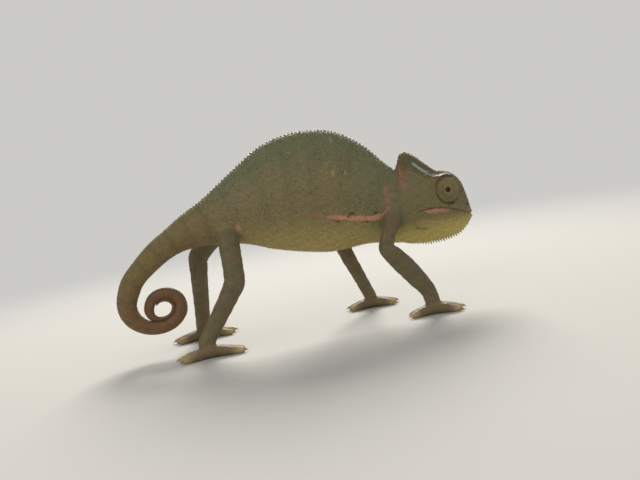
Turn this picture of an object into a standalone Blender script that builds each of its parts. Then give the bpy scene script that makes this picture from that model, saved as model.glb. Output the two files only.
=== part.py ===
"""Young veiled chameleon standing still, life size, as closed bodies in one frame.

+X is the way the animal faces, +Z is up and its four soles stand on z = 0. Sizes are in millimetres and become
metres when a mesh is made. The head, jaw, neck, torso and tail are lofts of one spine; each leg is a tube
through its joints, cut where it meets the body; eyes are turned round their own axes.
"""

import math

import bmesh
import bpy
import numpy as np

MM = 0.001
SEAM = 0.3  # space left between nodes that meet
CRESTS = True

# Spine rows from nape to tail base: back edge x, z; belly edge x, z; half-width
TRUNK = [
    (17.90, 22.60, 17.60, 10.65, 3.25),
    (16.00, 24.50, 15.50, 11.20, 3.35),
    (14.20, 26.60, 13.70, 11.60, 3.60),
    (12.30, 28.30, 11.60, 11.80, 3.85),
    (9.40, 30.10, 9.00, 11.65, 4.10),
    (6.30, 30.90, 6.00, 11.60, 4.20),
    (2.10, 31.05, 2.90, 12.10, 4.20),
    (-2.40, 30.00, -0.40, 12.90, 4.05),
    (-6.00, 27.95, -3.90, 13.95, 3.80),
    (-9.60, 25.60, -7.30, 15.30, 3.30),
    (-13.30, 23.20, -10.90, 15.90, 2.70),
    (-17.00, 21.40, -14.20, 16.20, 2.20),
    (-19.50, 19.80, -17.40, 16.00, 1.80),
    (-22.20, 18.30, -20.00, 15.00, 1.62),
    (-24.40, 16.60, -22.00, 13.80, 1.50),
    (-26.60, 14.60, -23.90, 12.50, 1.42),
    (-28.00, 13.20, -24.90, 11.60, 1.40),
]
# Coil rows to the tip of the tail: centre x, z; half-thickness
COIL = [
    (-27.10, 10.99, 1.66),
    (-27.75, 9.55, 1.60),
    (-27.80, 8.09, 1.52),
    (-27.16, 6.54, 1.37),
    (-25.86, 5.35, 1.20),
    (-24.06, 4.70, 1.08),
    (-22.11, 4.76, 1.01),
    (-20.41, 5.57, 0.97),
    (-19.39, 7.05, 0.95),
    (-19.52, 8.60, 0.93),
    (-20.66, 9.70, 0.91),
    (-22.15, 9.94, 0.87),
    (-23.50, 9.41, 0.80),
    (-24.32, 8.41, 0.71),
    (-24.42, 7.40, 0.59),
    (-23.85, 6.74, 0.47),
    (-23.05, 6.45, 0.38),
    (-22.10, 6.50, 0.34),
    (-21.34, 7.02, 0.31),
    (-21.30, 7.72, 0.28),
    (-21.86, 8.18, 0.24),
    (-22.40, 8.20, 0.18),
]
COIL_FLATNESS = 0.86  # half-width of the tail over its half-thickness
RIDGE = 0.34  # how far the back is drawn in to a keel
AROUND, TAIL_AROUND = 28, 18

# Head rows along x: top, then half-width and height of crest, temple, lip and jaw, then the underside
HEAD = [
    (18.20, 22.90, 0.85, 21.60, 2.90, 18.40, 3.30, 15.40, 2.75, 12.60, 10.55),
    (19.00, 24.60, 1.25, 22.60, 3.00, 18.60, 3.45, 15.40, 2.85, 12.50, 10.40),
    (19.80, 25.10, 1.75, 22.55, 3.10, 18.80, 3.52, 15.40, 2.90, 12.40, 10.32),
    (21.30, 24.25, 2.35, 21.55, 3.15, 18.60, 3.55, 15.30, 2.90, 12.20, 10.22),
    (22.80, 22.80, 2.60, 20.60, 3.10, 18.20, 3.42, 15.20, 2.80, 12.10, 10.22),
    (24.30, 21.40, 2.60, 20.25, 2.85, 18.00, 3.12, 15.10, 2.60, 12.10, 10.32),
    (25.80, 20.95, 2.30, 20.35, 2.20, 18.00, 2.75, 14.80, 2.30, 12.20, 10.60),
    (27.20, 20.20, 1.75, 19.60, 1.50, 17.60, 2.30, 14.35, 1.90, 12.40, 11.10),
    (28.20, 18.60, 1.20, 18.05, 1.15, 16.60, 1.70, 14.00, 1.45, 12.70, 11.95),
    (28.85, 15.60, 0.72, 15.35, 0.76, 14.90, 0.95, 13.75, 0.78, 13.00, 12.70),
    (29.15, 13.90, 0.26, 13.82, 0.31, 13.66, 0.36, 13.50, 0.27, 13.32, 13.15),
]
HOLLOW = (0.40, 0.66)  # part of the way out and down where the casque's side is hollowed
MOUTH = [(19.9, 15.6), (21.1, 15.35), (22.9, 15.3), (24.9, 15.1), (26.4, 14.7), (27.8, 14.1), (30.5, 13.0)]
NOSTRIL, NOSTRIL_R = (28.30, 1.30, 15.15), 0.30

EYE, EYE_LOOK = (25.60, 2.25, 18.00), (-0.10, 1.0, 0.10)
SOCKET = (2.42, 1.75)  # radius and half-depth
TURRET = [  # out along the way the eye looks, radius: the back, the girdle, the lid, its rim and the pupil
    (-1.35, 0.0), (-1.20, 0.95), (-0.75, 1.70), (-0.10, 2.08), (0.35, 2.00), (0.80, 1.62), (1.20, 1.12),
    (1.42, 0.82), (1.54, 0.66), (1.50, 0.52), (1.22, 0.48), (1.30, 0.26), (1.34, 0.0),
]  # fmt: skip
EYE_STEPS = 20

# Joints of the legs on the +Y side: hip or shoulder, knee or elbow, ankle or wrist, sole
LEGS = {
    "hind_right": ((-9.93, 1.90, 18.60), (-10.10, 6.30, 10.60), (-15.50, 7.60, 2.75), (-15.30, 8.00, 0.0)),
    "hind_left": ((-10.11, 1.90, 18.50), (-15.04, 6.00, 13.20), (-17.30, 7.40, 2.75), (-17.20, 8.00, 0.0)),
    "front_right": ((16.60, 2.30, 16.60), (13.55, 6.90, 11.30), (18.90, 7.30, 2.75), (19.60, 7.50, 0.0)),
    "front_left": ((14.80, 2.20, 15.40), (7.90, 5.60, 11.80), (11.10, 7.00, 2.75), (11.50, 7.40, 0.0)),
}
# Radii down the leg, in line with the bend and across it: root, upper, above the joint, joint, below, lower, end
HIND_RADII = ((1.75, 1.60, 1.55, 1.62, 1.45, 1.32, 1.22), (1.60, 1.45, 1.30, 1.30, 1.20, 1.10, 1.08))
FRONT_RADII = ((1.45, 1.25, 1.12, 1.22, 1.18, 1.08, 1.02), (1.30, 1.12, 1.02, 1.08, 1.02, 0.98, 0.95))
LEG_SIDES = 14
PALM = (1.35, 1.25, 1.05)  # half-sizes of the palm
TOE_LENGTH = {"hind": 4.6, "front": 3.7}
TOE_RADII = (0.80, 0.78, 0.62, 0.46)
BUNDLE = (1.75, 0.98, 0.80)  # half-sizes of the pad that binds the toes of one side together
CLAW = (0.55, 0.26)  # length and root radius
# Toes by foot: heading from +X towards the outside in degrees, and length factor
TOES = {
    "hind": ((9, 1.0), (-11, 0.92), (163, 0.86), (181, 1.0), (199, 0.90)),
    "front": ((-17, 0.92), (2, 1.0), (21, 0.88), (172, 0.95), (192, 0.90)),
}

# Crests: pitch, height, root width; arc places along the spine
BACK_CREST = (0.78, 0.50, 0.52)
BELLY_CREST = (0.95, 0.34, 0.50)
THROAT_CREST = (0.72, 0.62, 0.50)
SUNK = 0.35

COLOURS = {
    "head_skin": (0.145, 0.165, 0.060),
    "body_skin": (0.115, 0.125, 0.042),
    "tail_skin": (0.140, 0.115, 0.038),
    "leg_skin": (0.125, 0.120, 0.042),
    "eye_skin": (0.150, 0.125, 0.055),
}


def hermite(key, rows, at):
    """Rows of numbers read smoothly at new places along an increasing key."""
    key, rows, at = np.asarray(key, float), np.asarray(rows, float), np.asarray(at, float)
    slope = np.gradient(rows, key, axis=0)
    i = np.clip(np.searchsorted(key, at, side="right") - 1, 0, len(key) - 2)
    gap = (key[i + 1] - key[i])[:, None]
    t = (at[:, None] - key[i][:, None]) / gap
    return (
        (2 * t**3 - 3 * t**2 + 1) * rows[i]
        + (t**3 - 2 * t**2 + t) * gap * slope[i]
        + (3 * t**2 - 2 * t**3) * rows[i + 1]
        + (t**3 - t**2) * gap * slope[i + 1]
    )


def mesh_object(name, points, faces):
    mesh = bpy.data.meshes.new(name)
    mesh.from_pydata([tuple(p) for p in np.asarray(points) * MM], [], faces)
    work = bmesh.new()
    work.from_mesh(mesh)
    bmesh.ops.recalc_face_normals(work, faces=work.faces)
    work.to_mesh(mesh)
    work.free()
    obj = bpy.data.objects.new(name, mesh)
    bpy.context.scene.collection.objects.link(obj)
    return obj


def loft(name, rings):
    """A closed body from rings of equal length, with a fan over each end."""
    rings = np.asarray(rings, float)
    count, around = rings.shape[:2]
    points = np.concatenate([rings.reshape(-1, 3), rings[:1].mean(1), rings[-1:].mean(1)])
    faces = []
    for i in range(count - 1):
        for j in range(around):
            k = (j + 1) % around
            faces.append((i * around + j, i * around + k, (i + 1) * around + k, (i + 1) * around + j))
    first, last = count * around, count * around + 1
    for j in range(around):
        k = (j + 1) % around
        faces.append((first, k, j))
        faces.append((last, (count - 1) * around + j, (count - 1) * around + k))
    return mesh_object(name, points, faces)


def combine(obj, operation, others, solver="EXACT"):
    """Joins or cuts obj with other closed meshes, which are used up, and keeps its largest body."""
    helpers = bpy.data.collections.new("helpers")
    for other in others:
        helpers.objects.link(other)
    change = obj.modifiers.new("combine", "BOOLEAN")
    change.operation, change.solver = operation, solver
    if operation == "INTERSECT":
        change.object = others[0]
    else:
        change.operand_type, change.collection = "COLLECTION", helpers
    bpy.context.view_layer.update()
    graph = bpy.context.evaluated_depsgraph_get()
    mesh = bpy.data.meshes.new_from_object(obj.evaluated_get(graph))
    obj.modifiers.clear()
    obj.data = mesh
    for other in others:
        bpy.data.objects.remove(other)
    bpy.data.collections.remove(helpers)
    keep_largest(obj)
    return obj


def keep_largest(obj):
    work = bmesh.new()
    work.from_mesh(obj.data)
    left, bodies = set(work.faces), []
    while left:
        body, edge = set(), [next(iter(left))]
        while edge:
            face = edge.pop()
            if face in left:
                left.discard(face)
                body.add(face)
                edge.extend(f for e in face.edges for f in e.link_faces if f in left)
        bodies.append(body)
    best = max(bodies, key=lambda faces: sum(face.calc_area() for face in faces))
    bmesh.ops.delete(work, geom=[f for f in work.faces if f not in best], context="FACES")
    bmesh.ops.triangulate(work, faces=work.faces)
    work.to_mesh(obj.data)
    work.free()


def spine():
    """Arc place, centre, half-height vector and half-width of every row from nape to tail tip."""
    trunk = np.array(TRUNK)
    centre = (trunk[:, :2] + trunk[:, 2:4]) / 2
    half = (trunk[:, :2] - trunk[:, 2:4]) / 2
    coil = np.array(COIL)
    path = np.concatenate([centre, coil[:, :2]])
    run = np.gradient(path, axis=0)
    run /= np.linalg.norm(run, axis=1)[:, None]
    out = np.stack([run[:, 1], -run[:, 0]], 1)[len(trunk) :]
    half = np.concatenate([half, out * coil[:, 2:]])
    width = np.concatenate([trunk[:, 4], coil[:, 2] * COIL_FLATNESS])
    key = np.concatenate([[0.0], np.cumsum(np.linalg.norm(np.diff(path, axis=0), axis=1))])
    return key, np.column_stack([path, half, width])


SPINE_KEY, SPINE_ROWS = spine()
TAIL_END = float(SPINE_KEY[-1])


def spine_rings(places, grow=0.0, around=AROUND):
    rows = hermite(SPINE_KEY, SPINE_ROWS, places)
    turn = np.arange(around) * 2 * math.pi / around
    sine, cosine = np.sin(turn), np.cos(turn)
    length = np.linalg.norm(rows[:, 2:4], axis=1)[:, None]
    half = rows[:, 2:4] * (length + grow) / length
    keel = RIDGE * np.clip((length - 1.5) / 3.0, 0, 1)
    across = (rows[:, 4:] + grow) * cosine * (1 - keel * np.clip(sine, 0, 1) ** 1.5)
    x = rows[:, :1] + half[:, :1] * sine
    z = rows[:, 1:2] + half[:, 1:] * sine
    return np.stack([x, across, z], 2)


def spine_body(name, start, end, step, grow=0.0, around=AROUND):
    count = max(int(round((end - start) / step)), 2) + 1
    return loft(name, spine_rings(np.linspace(start, end, count), grow, around))


def edge_of_spine(places, side):
    """Points on the back (side 1) or belly (side -1) edge, and the way out from there."""
    rows = hermite(SPINE_KEY, SPINE_ROWS, places)
    at = rows[:, :2] + side * rows[:, 2:4]
    run = np.gradient(at, axis=0)
    run /= np.linalg.norm(run, axis=1)[:, None]
    out = side * np.stack([run[:, 1], -run[:, 0]], 1)
    return at, out, run


def spike(at, out, run, crest):
    """One spine of a crest: a four-sided cone leaning back a little, with its root sunk in."""
    _, height, width = crest
    turn = np.arange(4) * math.pi / 2 + math.pi / 4
    along = np.array([run[0], 0.0, run[1]])
    way = np.array([out[0], 0.0, out[1]])
    base = np.array([at[0], 0.0, at[1]])
    radius = width * 0.6
    rings = [
        base - way * SUNK + radius * (np.outer(np.cos(turn), along) + np.outer(np.sin(turn), (0, 1, 0))),
        base + way * 0.05 + radius * (np.outer(np.cos(turn), along) + np.outer(np.sin(turn), (0, 1, 0))),
        base + way * height + along * 0.10
        + 0.09 * (np.outer(np.cos(turn), along) + np.outer(np.sin(turn), (0, 1, 0))),
    ]
    return loft("spike", rings)


def spikes(start, end, side, crest):
    count = int((end - start) / crest[0])
    places = np.linspace(start, end, count)
    return [spike(a, o, r, crest) for a, o, r in zip(*edge_of_spine(places, side))]


def head_rings():
    table = np.array(HEAD)
    key = table[:, 0]
    places = np.concatenate([np.linspace(key[0], 28.2, 21), [28.55, 28.85, 29.03, 29.15]])
    rows = hermite(key, table, places)
    top, bottom = rows[:, 1], rows[:, 10]
    crest_y, crest_z = rows[:, 2], rows[:, 3]
    zero = np.zeros_like(top)
    side = [
        (zero, top),
        (crest_y * HOLLOW[0], top + (crest_z - top) * HOLLOW[1]),
        (crest_y, crest_z),
        (rows[:, 4], rows[:, 5]),
        (rows[:, 6], rows[:, 7]),
        (rows[:, 8], rows[:, 9]),
        (zero, bottom),
    ]
    loop = side + [(-y, z) for y, z in side[-2:0:-1]]
    anchors = np.array([np.stack(p, 1) for p in loop])  # around, stations, (y, z)
    closed = np.concatenate([anchors[-2:], anchors, anchors[:3]])
    fine = hermite(
        np.arange(len(closed)), closed.reshape(len(closed), -1), 2 + np.arange(0, len(anchors), 1 / 3)
    ).reshape(-1, len(places), 2)
    x = np.repeat(places[None, :, None], len(fine), 0)
    return np.transpose(np.concatenate([x, fine], 2), (1, 0, 2))


def mouth_prism(drop, back):
    """A prism across the head holding all that is below the mouth and ahead of its corner."""
    line = [(x, z - drop) for x, z in MOUTH]
    line[0] = (line[0][0] + back, line[0][1])
    outline = line + [(MOUTH[-1][0], 8.0), (MOUTH[0][0] + back, 8.0)]
    rings = [[(x, y, z) for x, z in outline] for y in (-6.0, 6.0)]
    return loft("prism", rings)


def ellipsoid(name, centre, half, steps=16):
    rise = np.linspace(-math.pi / 2, math.pi / 2, steps // 2 + 1)[1:-1]
    rise = np.concatenate([[-math.pi / 2 + 0.12], rise, [math.pi / 2 - 0.12]])
    turn = np.arange(steps) * 2 * math.pi / steps
    rings = [
        np.stack([np.cos(turn) * math.cos(r), np.sin(turn) * math.cos(r), np.full(steps, math.sin(r))], 1)
        * half
        + centre
        for r in rise
    ]
    return loft(name, rings)


def eye(name, side):
    look = np.array(EYE_LOOK) * (1, side, 1)
    look /= np.linalg.norm(look)
    u = np.cross(look, (0, 0, 1))
    u /= np.linalg.norm(u)
    v = np.cross(look, u)
    turn = np.arange(EYE_STEPS) * 2 * math.pi / EYE_STEPS
    ring = np.outer(np.cos(turn), u) + np.outer(np.sin(turn), v)
    centre = np.array(EYE) * (1, side, 1)
    profile = TURRET[1:-1]
    return loft(name, [centre + look * out + ring * radius for out, radius in profile])


def leg_rows(joints, radii):
    """Centres and two radii down a leg: four rows to the middle joint, which both halves share, and four on."""
    a, b, c = (np.array(p) for p in joints[:3])
    centres = [a + (b - a) * t for t in (0.0, 0.45, 0.80, 1.0)] + [b + (c - b) * t for t in (0.2, 0.6, 1.0)]
    return np.column_stack([np.array(centres), radii[0], radii[1]])


def tube_rings(rows, places, key, sides, across):
    ahead = hermite(key, rows, np.minimum(places + 0.02, key[-1]))
    behind = hermite(key, rows, np.maximum(places - 0.02, 0.0))
    rows = hermite(key, rows, places)
    run = (ahead - behind)[:, :3]
    run /= np.linalg.norm(run, axis=1)[:, None]
    side = across - (run @ across)[:, None] * run
    side /= np.linalg.norm(side, axis=1)[:, None]
    front = np.cross(run, side)
    turn = np.arange(sides) * 2 * math.pi / sides
    return (
        rows[:, None, :3]
        + rows[:, None, 3:4] * np.cos(turn)[None, :, None] * front[:, None, :]
        + rows[:, None, 4:5] * np.sin(turn)[None, :, None] * side[:, None, :]
    )


def leg_part(name, rows, rounded_first, rounded_last):
    """A straight length of leg, with a round end where the joint is."""
    key = np.concatenate([[0.0], np.cumsum(np.linalg.norm(np.diff(rows[:, :3], axis=0), axis=1))])
    places = np.linspace(0.0, key[-1], max(int(round(key[-1] / 1.2)), 3) + 1)
    rings = list(tube_rings(rows, places, key, LEG_SIDES, np.array((0.0, 1.0, 0.0))))
    way = (rows[-1, :3] - rows[0, :3]) / key[-1]
    for wanted, ring, sign in ((rounded_first, rings[0], -1), (rounded_last, rings[-1], 1)):
        if not wanted:
            continue
        middle = ring.mean(0)
        radius = np.linalg.norm(ring - middle, axis=1).mean()
        cap = [
            middle + (ring - middle) * math.cos(t) + way * sign * radius * math.sin(t)
            for t in (0.5, 0.95, 1.3)
        ]
        rings = cap[::-1] + rings if sign < 0 else rings + cap
    return loft(name, rings)


def toe(start, heading, length, side, sole):
    """A toe lying on the floor from the palm outwards, and its claw."""
    way = np.array([math.cos(heading), side * math.sin(heading), 0.0])
    reach = np.array([0.0, 0.42, 0.78, 1.0]) * length
    height = np.array([0.95, 0.72, 0.48, 0.36])
    centres = start[None, :] * (1, 1, 0) + reach[:, None] * way + height[:, None] * (0, 0, 1)
    rows = np.column_stack([centres, TOE_RADII, TOE_RADII])
    key = np.concatenate([[0.0], np.cumsum(np.linalg.norm(np.diff(centres, axis=0), axis=1))])
    across = np.cross(way, (0, 0, 1))
    body = tube_rings(rows, np.linspace(0, key[-1], 5), key, 8, across)
    tip = centres[-1] + way * TOE_RADII[-1] * 0.75
    rounded = body[-1].mean(0) + (body[-1] - body[-1].mean(0)) * 0.6 + way * TOE_RADII[-1] * 0.75
    pieces = [loft("toe", list(body) + [rounded])]
    long, root = CLAW
    turn = np.arange(6) * math.pi / 3
    ring = np.outer(np.cos(turn), across) + np.outer(np.sin(turn), (0, 0, 1))
    base = tip - way * 0.25 + (0, 0, 0.08)
    claw = [
        base + ring * root,
        base + way * (0.25 + long * 0.5) + (0, 0, 0.04) + ring * root * 0.72,
        base + way * (0.25 + long) - (0, 0, 0.12) + ring * 0.07,
    ]
    pieces.append(loft("claw", claw))
    return pieces


def foot(name, kind, joints, side):
    ankle, sole = (np.array(p) * (1, side, 1) for p in joints[2:4])
    radii = (HIND_RADII if kind == "hind" else FRONT_RADII)[0][-1]
    shank = leg_rows([np.array(p) * (1, side, 1) for p in joints], HIND_RADII)[-2:, :3]
    way = (shank[1] - shank[0]) / np.linalg.norm(shank[1] - shank[0])
    top = ankle + way * SEAM
    palm_centre = sole + (0, 0, 0.95)
    rows = np.array([
        (*top, radii, radii * 0.92),
        (*(top + way * 0.4), radii * 1.02, radii * 0.95),
        (*(palm_centre - (0, 0, 0.1)), radii * 0.95, radii * 0.9),
    ])  # fmt: skip
    key = np.concatenate([[0.0], np.cumsum(np.linalg.norm(np.diff(rows[:, :3], axis=0), axis=1))])
    places = np.array([0.0, 0.1, 0.4, (0.4 + key[-1]) / 2, key[-1]])
    rings = tube_rings(rows, places, key, LEG_SIDES, np.array((0.0, 1.0, 0.0)))
    obj = loft(name, rings)
    pieces = [ellipsoid("palm", palm_centre, PALM, 14)]
    for way_x in (-1, 1):
        pad = sole + (way_x * TOE_LENGTH[kind] * 0.36, 0.0, 0.66)
        pieces.append(ellipsoid("pad", pad, BUNDLE, 12))
    for degrees, factor in TOES[kind]:
        heading = math.radians(degrees)
        across = np.array([-math.sin(heading), side * math.cos(heading), 0.0])
        sideways = math.sin(heading) * (1 if math.cos(heading) > 0 else 1)
        start = sole + np.array((0.0, side * 0.55 * sideways, 0.0))
        pieces += toe(start, heading, TOE_LENGTH[kind] * factor, side, sole)
    combine(obj, "UNION", pieces)
    floor = loft("floor", [
        [(sole[0] - 9, sole[1] - 9, z), (sole[0] + 9, sole[1] - 9, z), (sole[0] + 9, sole[1] + 9, z),
         (sole[0] - 9, sole[1] + 9, z)] for z in (-3.0, 0.0)
    ])  # fmt: skip
    return combine(obj, "DIFFERENCE", [floor])


def material(name):
    made = bpy.data.materials.new(name)
    made.use_nodes = True
    shader = made.node_tree.nodes["Principled BSDF"]
    shader.inputs["Base Color"].default_value = (*COLOURS[name], 1.0)
    shader.inputs["Roughness"].default_value = 0.55
    return made


def dress(obj, slot):
    obj.data.materials.clear()
    obj.data.materials.append(slot)
    obj.data.shade_smooth()
    obj.data.set_sharp_from_angle(angle=math.radians(38))


def main():
    for obj in list(bpy.data.objects):
        bpy.data.objects.remove(obj)
    bpy.context.scene.unit_settings.scale_length = 1.0
    slots = {name: material(name) for name in COLOURS}

    # Head and jaw: one loft, opened for the eyes and nostrils and parted along the mouth
    head = loft("head", head_rings())
    jaw = loft("lower_jaw", head_rings())
    cutters = [mouth_prism(0.0, 0.0)]
    for side in (-1, 1):
        at = np.array(EYE) * (1, side, 1)
        cutters.append(ellipsoid("socket", at, (SOCKET[0], SOCKET[1], SOCKET[0]), 24))
        cutters.append(ellipsoid("nostril", np.array(NOSTRIL) * (1, side, 1), (NOSTRIL_R,) * 3, 10))
    combine(head, "DIFFERENCE", cutters)
    combine(jaw, "INTERSECT", [mouth_prism(SEAM, SEAM)])
    if CRESTS:
        combine(jaw, "UNION", throat_spikes())
    dress(head, slots["head_skin"])
    dress(jaw, slots["head_skin"])
    for name, side in (("eye_right", -1), ("eye_left", 1)):
        dress(eye(name, side), slots["eye_skin"])

    # Neck, torso and tail: lengths of one spine, with a seam between each two
    ends = {"neck": (0.0, 4.0), "torso": (4.0, 30.6), "tail_base": (30.6, 41.5), "tail_bend": (41.5, 50.5),
            "tail_coil": (50.5, 62.5), "tail_tip": (62.5, TAIL_END)}  # fmt: skip
    for name, (start, end) in ends.items():
        first = start if name == "neck" else start + SEAM / 2
        last = end if name == "tail_tip" else end - SEAM / 2
        around = TAIL_AROUND if name.startswith("tail") else AROUND
        obj = spine_body(name, first, last, 1.1 if start < 41 else 0.7, 0.0, around)
        crest = []
        if CRESTS and name in ("neck", "torso", "tail_base"):
            crest += spikes(first + 0.45, last - 0.45, 1, BACK_CREST)
        if CRESTS and name == "torso":
            crest += spikes(first + 1.0, last - 6.5, -1, BELLY_CREST)
        if crest:
            combine(obj, "UNION", crest)
        dress(obj, slots["tail_skin" if name.startswith("tail") else "body_skin"])

    # Legs: each cut clear of the body where it joins
    for name, joints in LEGS.items():
        kind, which = name.split("_")
        side = 1 if which == "left" else -1
        radii = HIND_RADII if kind == "hind" else FRONT_RADII
        rows = leg_rows([np.array(p) * (1, side, 1) for p in joints], radii)
        upper_name, lower_name, foot_name = (
            ("thigh", "shank", "foot") if kind == "hind" else ("upper_arm", "forearm", "hand")
        )
        upper = leg_part(f"{upper_name}_{which}", rows[:4], False, True)
        cutters = [spine_body("cut", 0.0, 40.0, 1.1, SEAM)]
        if kind == "front":
            cutters.append(grown_head())
        for cutter in cutters:
            combine(upper, "DIFFERENCE", [cutter])
        lower = leg_part(f"{lower_name}_{which}", rows[3:], True, False)
        grown = rows[:4] + (0, 0, 0, SEAM, SEAM)
        combine(lower, "DIFFERENCE", [leg_part("cut", grown, False, True)])
        for obj in (upper, lower, foot(f"{foot_name}_{which}", kind, joints, side)):
            dress(obj, slots["leg_skin"])


def grown_head():
    rings = head_rings()
    middle = rings.mean(1, keepdims=True)
    way = rings - middle
    way /= np.maximum(np.linalg.norm(way, axis=2, keepdims=True), 1e-6)
    rings = rings + way * SEAM
    rings[0, :, 0] -= SEAM
    return loft("grown_head", rings)


def throat_spikes():
    """Spines along the throat's midline, from the jaw's corner to near the chin."""
    table = np.array(HEAD)
    places = np.arange(21.0, 28.3, THROAT_CREST[0])
    bottom = hermite(table[:, 0], table, places)[:, 10]
    at = np.stack([places, bottom], 1)
    run = np.gradient(at, axis=0)
    run /= -np.linalg.norm(run, axis=1)[:, None]
    out = np.stack([-run[:, 1], run[:, 0]], 1)
    return [spike(a, o, r, THROAT_CREST) for a, o, r in zip(at, out, run)]


main()
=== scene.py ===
"""Young veiled chameleon: one skin with its scales, crests, eyes and claws, on a pale studio floor.

Shapes are worked out in millimetres, +X the way the animal faces and +Z up, and go into meshes in metres.
"""

from __future__ import annotations

import logging
import math
from dataclasses import dataclass, field
from enum import Enum

import bpy
import numpy as np
from mathutils import Matrix
from mathutils.bvhtree import BVHTree


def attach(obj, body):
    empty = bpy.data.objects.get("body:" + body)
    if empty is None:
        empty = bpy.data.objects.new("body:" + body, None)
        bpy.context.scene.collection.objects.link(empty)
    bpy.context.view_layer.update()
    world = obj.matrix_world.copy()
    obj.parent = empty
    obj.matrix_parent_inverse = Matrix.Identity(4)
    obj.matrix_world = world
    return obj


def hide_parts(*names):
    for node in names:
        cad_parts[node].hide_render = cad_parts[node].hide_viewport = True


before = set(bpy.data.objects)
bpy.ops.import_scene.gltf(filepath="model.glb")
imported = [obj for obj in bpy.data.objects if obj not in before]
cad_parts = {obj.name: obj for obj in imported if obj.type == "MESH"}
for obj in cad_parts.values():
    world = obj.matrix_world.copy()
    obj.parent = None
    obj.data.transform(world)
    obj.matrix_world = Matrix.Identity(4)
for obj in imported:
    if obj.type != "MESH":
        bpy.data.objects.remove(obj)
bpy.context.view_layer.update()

MM = 0.001
LOG = logging.getLogger("chameleon")
Array = np.ndarray


class Side(Enum):
    """The animal's two sides, as the sign of Y."""

    RIGHT = -1
    LEFT = 1


def linear(code: str) -> Array:
    """Turns an sRGB hex colour into linear red, green and blue.

    Args:
        code: Six hex digits after a hash sign.

    Returns:
        Three linear numbers.
    """
    srgb = np.array([int(code[i : i + 2], 16) for i in (1, 3, 5)]) / 255
    return np.where(srgb <= 0.04045, srgb / 12.92, ((srgb + 0.055) / 1.055) ** 2.4)


def ramp(values: Array, low: float, high: float) -> Array:
    """Rises smoothly from 0 at low to 1 at high: 3t² - 2t³ of the clipped fraction.

    Args:
        values: Numbers to place on the ramp.
        low: Where it starts.
        high: Where it ends; it may be under low, which turns the ramp round.

    Returns:
        Numbers from 0 to 1.
    """
    t = np.clip((values - low) / (high - low), 0, 1)
    return t * t * (3 - 2 * t)


def hermite(key: Array, rows: Array, at: Array) -> Array:
    """Reads rows smoothly between their keys, by cubic Hermite spans with central slopes.

    Args:
        key: Increasing places of the rows.
        rows: One row of numbers for each key.
        at: New places.

    Returns:
        One row for each new place.
    """
    slope = np.gradient(rows, key, axis=0)
    i = np.clip(np.searchsorted(key, at, side="right") - 1, 0, len(key) - 2)
    gap = (key[i + 1] - key[i])[:, None]
    t = (at[:, None] - key[i][:, None]) / gap
    return (
        (2 * t**3 - 3 * t**2 + 1) * rows[i]
        + (t**3 - 2 * t**2 + t) * gap * slope[i]
        + (3 * t**2 - 2 * t**3) * rows[i + 1]
        + (t**3 - t**2) * gap * slope[i + 1]
    )


def run_length(points: Array) -> Array:
    """Distance along a path at each of its points."""
    return np.concatenate([[0.0], np.cumsum(np.linalg.norm(np.diff(points, axis=0), axis=1))])


def unit(vectors: Array) -> Array:
    """The vectors at length one."""
    return vectors / np.maximum(np.linalg.norm(vectors, axis=-1, keepdims=True), 1e-9)


def mottle(points: Array, size: float, seed: float) -> Array:
    """Soft blotches of about the given size: the product and sum of slanted sine waves.

    Args:
        points: Places in millimetres.
        size: Width of a blotch in millimetres.
        seed: Shifts the waves.

    Returns:
        Numbers from -1 to 1.
    """
    p = points * (math.pi / size)
    a = np.sin(p[:, 0] * 1.03 + p[:, 2] * 0.57 + seed) * np.sin(p[:, 2] * 0.91 - p[:, 1] * 0.73 + 2.1 * seed)
    b = np.sin(p[:, 0] * 0.47 - p[:, 2] * 1.21 + p[:, 1] * 0.6 + 3.7 * seed)
    c = np.sin(p[:, 0] * 1.9 + p[:, 1] * 1.3 + p[:, 2] * 1.7 + 5.3 * seed)
    return 0.45 * a + 0.35 * b + 0.2 * c


def placed(name: str, data: bpy.types.ID) -> bpy.types.Object:
    """Adds an object to the scene.

    Args:
        name: Its name.
        data: Its mesh, light or camera.

    Returns:
        The new object, at the origin.
    """
    obj = bpy.data.objects.new(name, data)
    bpy.context.scene.collection.objects.link(obj)
    return obj


def stance(right: Array, up: Array, back: Array, place: Array) -> Matrix:
    """The matrix that turns an object's own X, Y and Z to three directions and moves it to a place.

    Args:
        right: Where its X goes.
        up: Where its Y goes.
        back: Where its Z goes; a light or a camera looks the other way.
        place: Its place in metres.

    Returns:
        A matrix of four rows.
    """
    matrix = np.eye(4)
    matrix[:3, 0], matrix[:3, 1], matrix[:3, 2], matrix[:3, 3] = right, up, back, place
    return Matrix(matrix)


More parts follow.
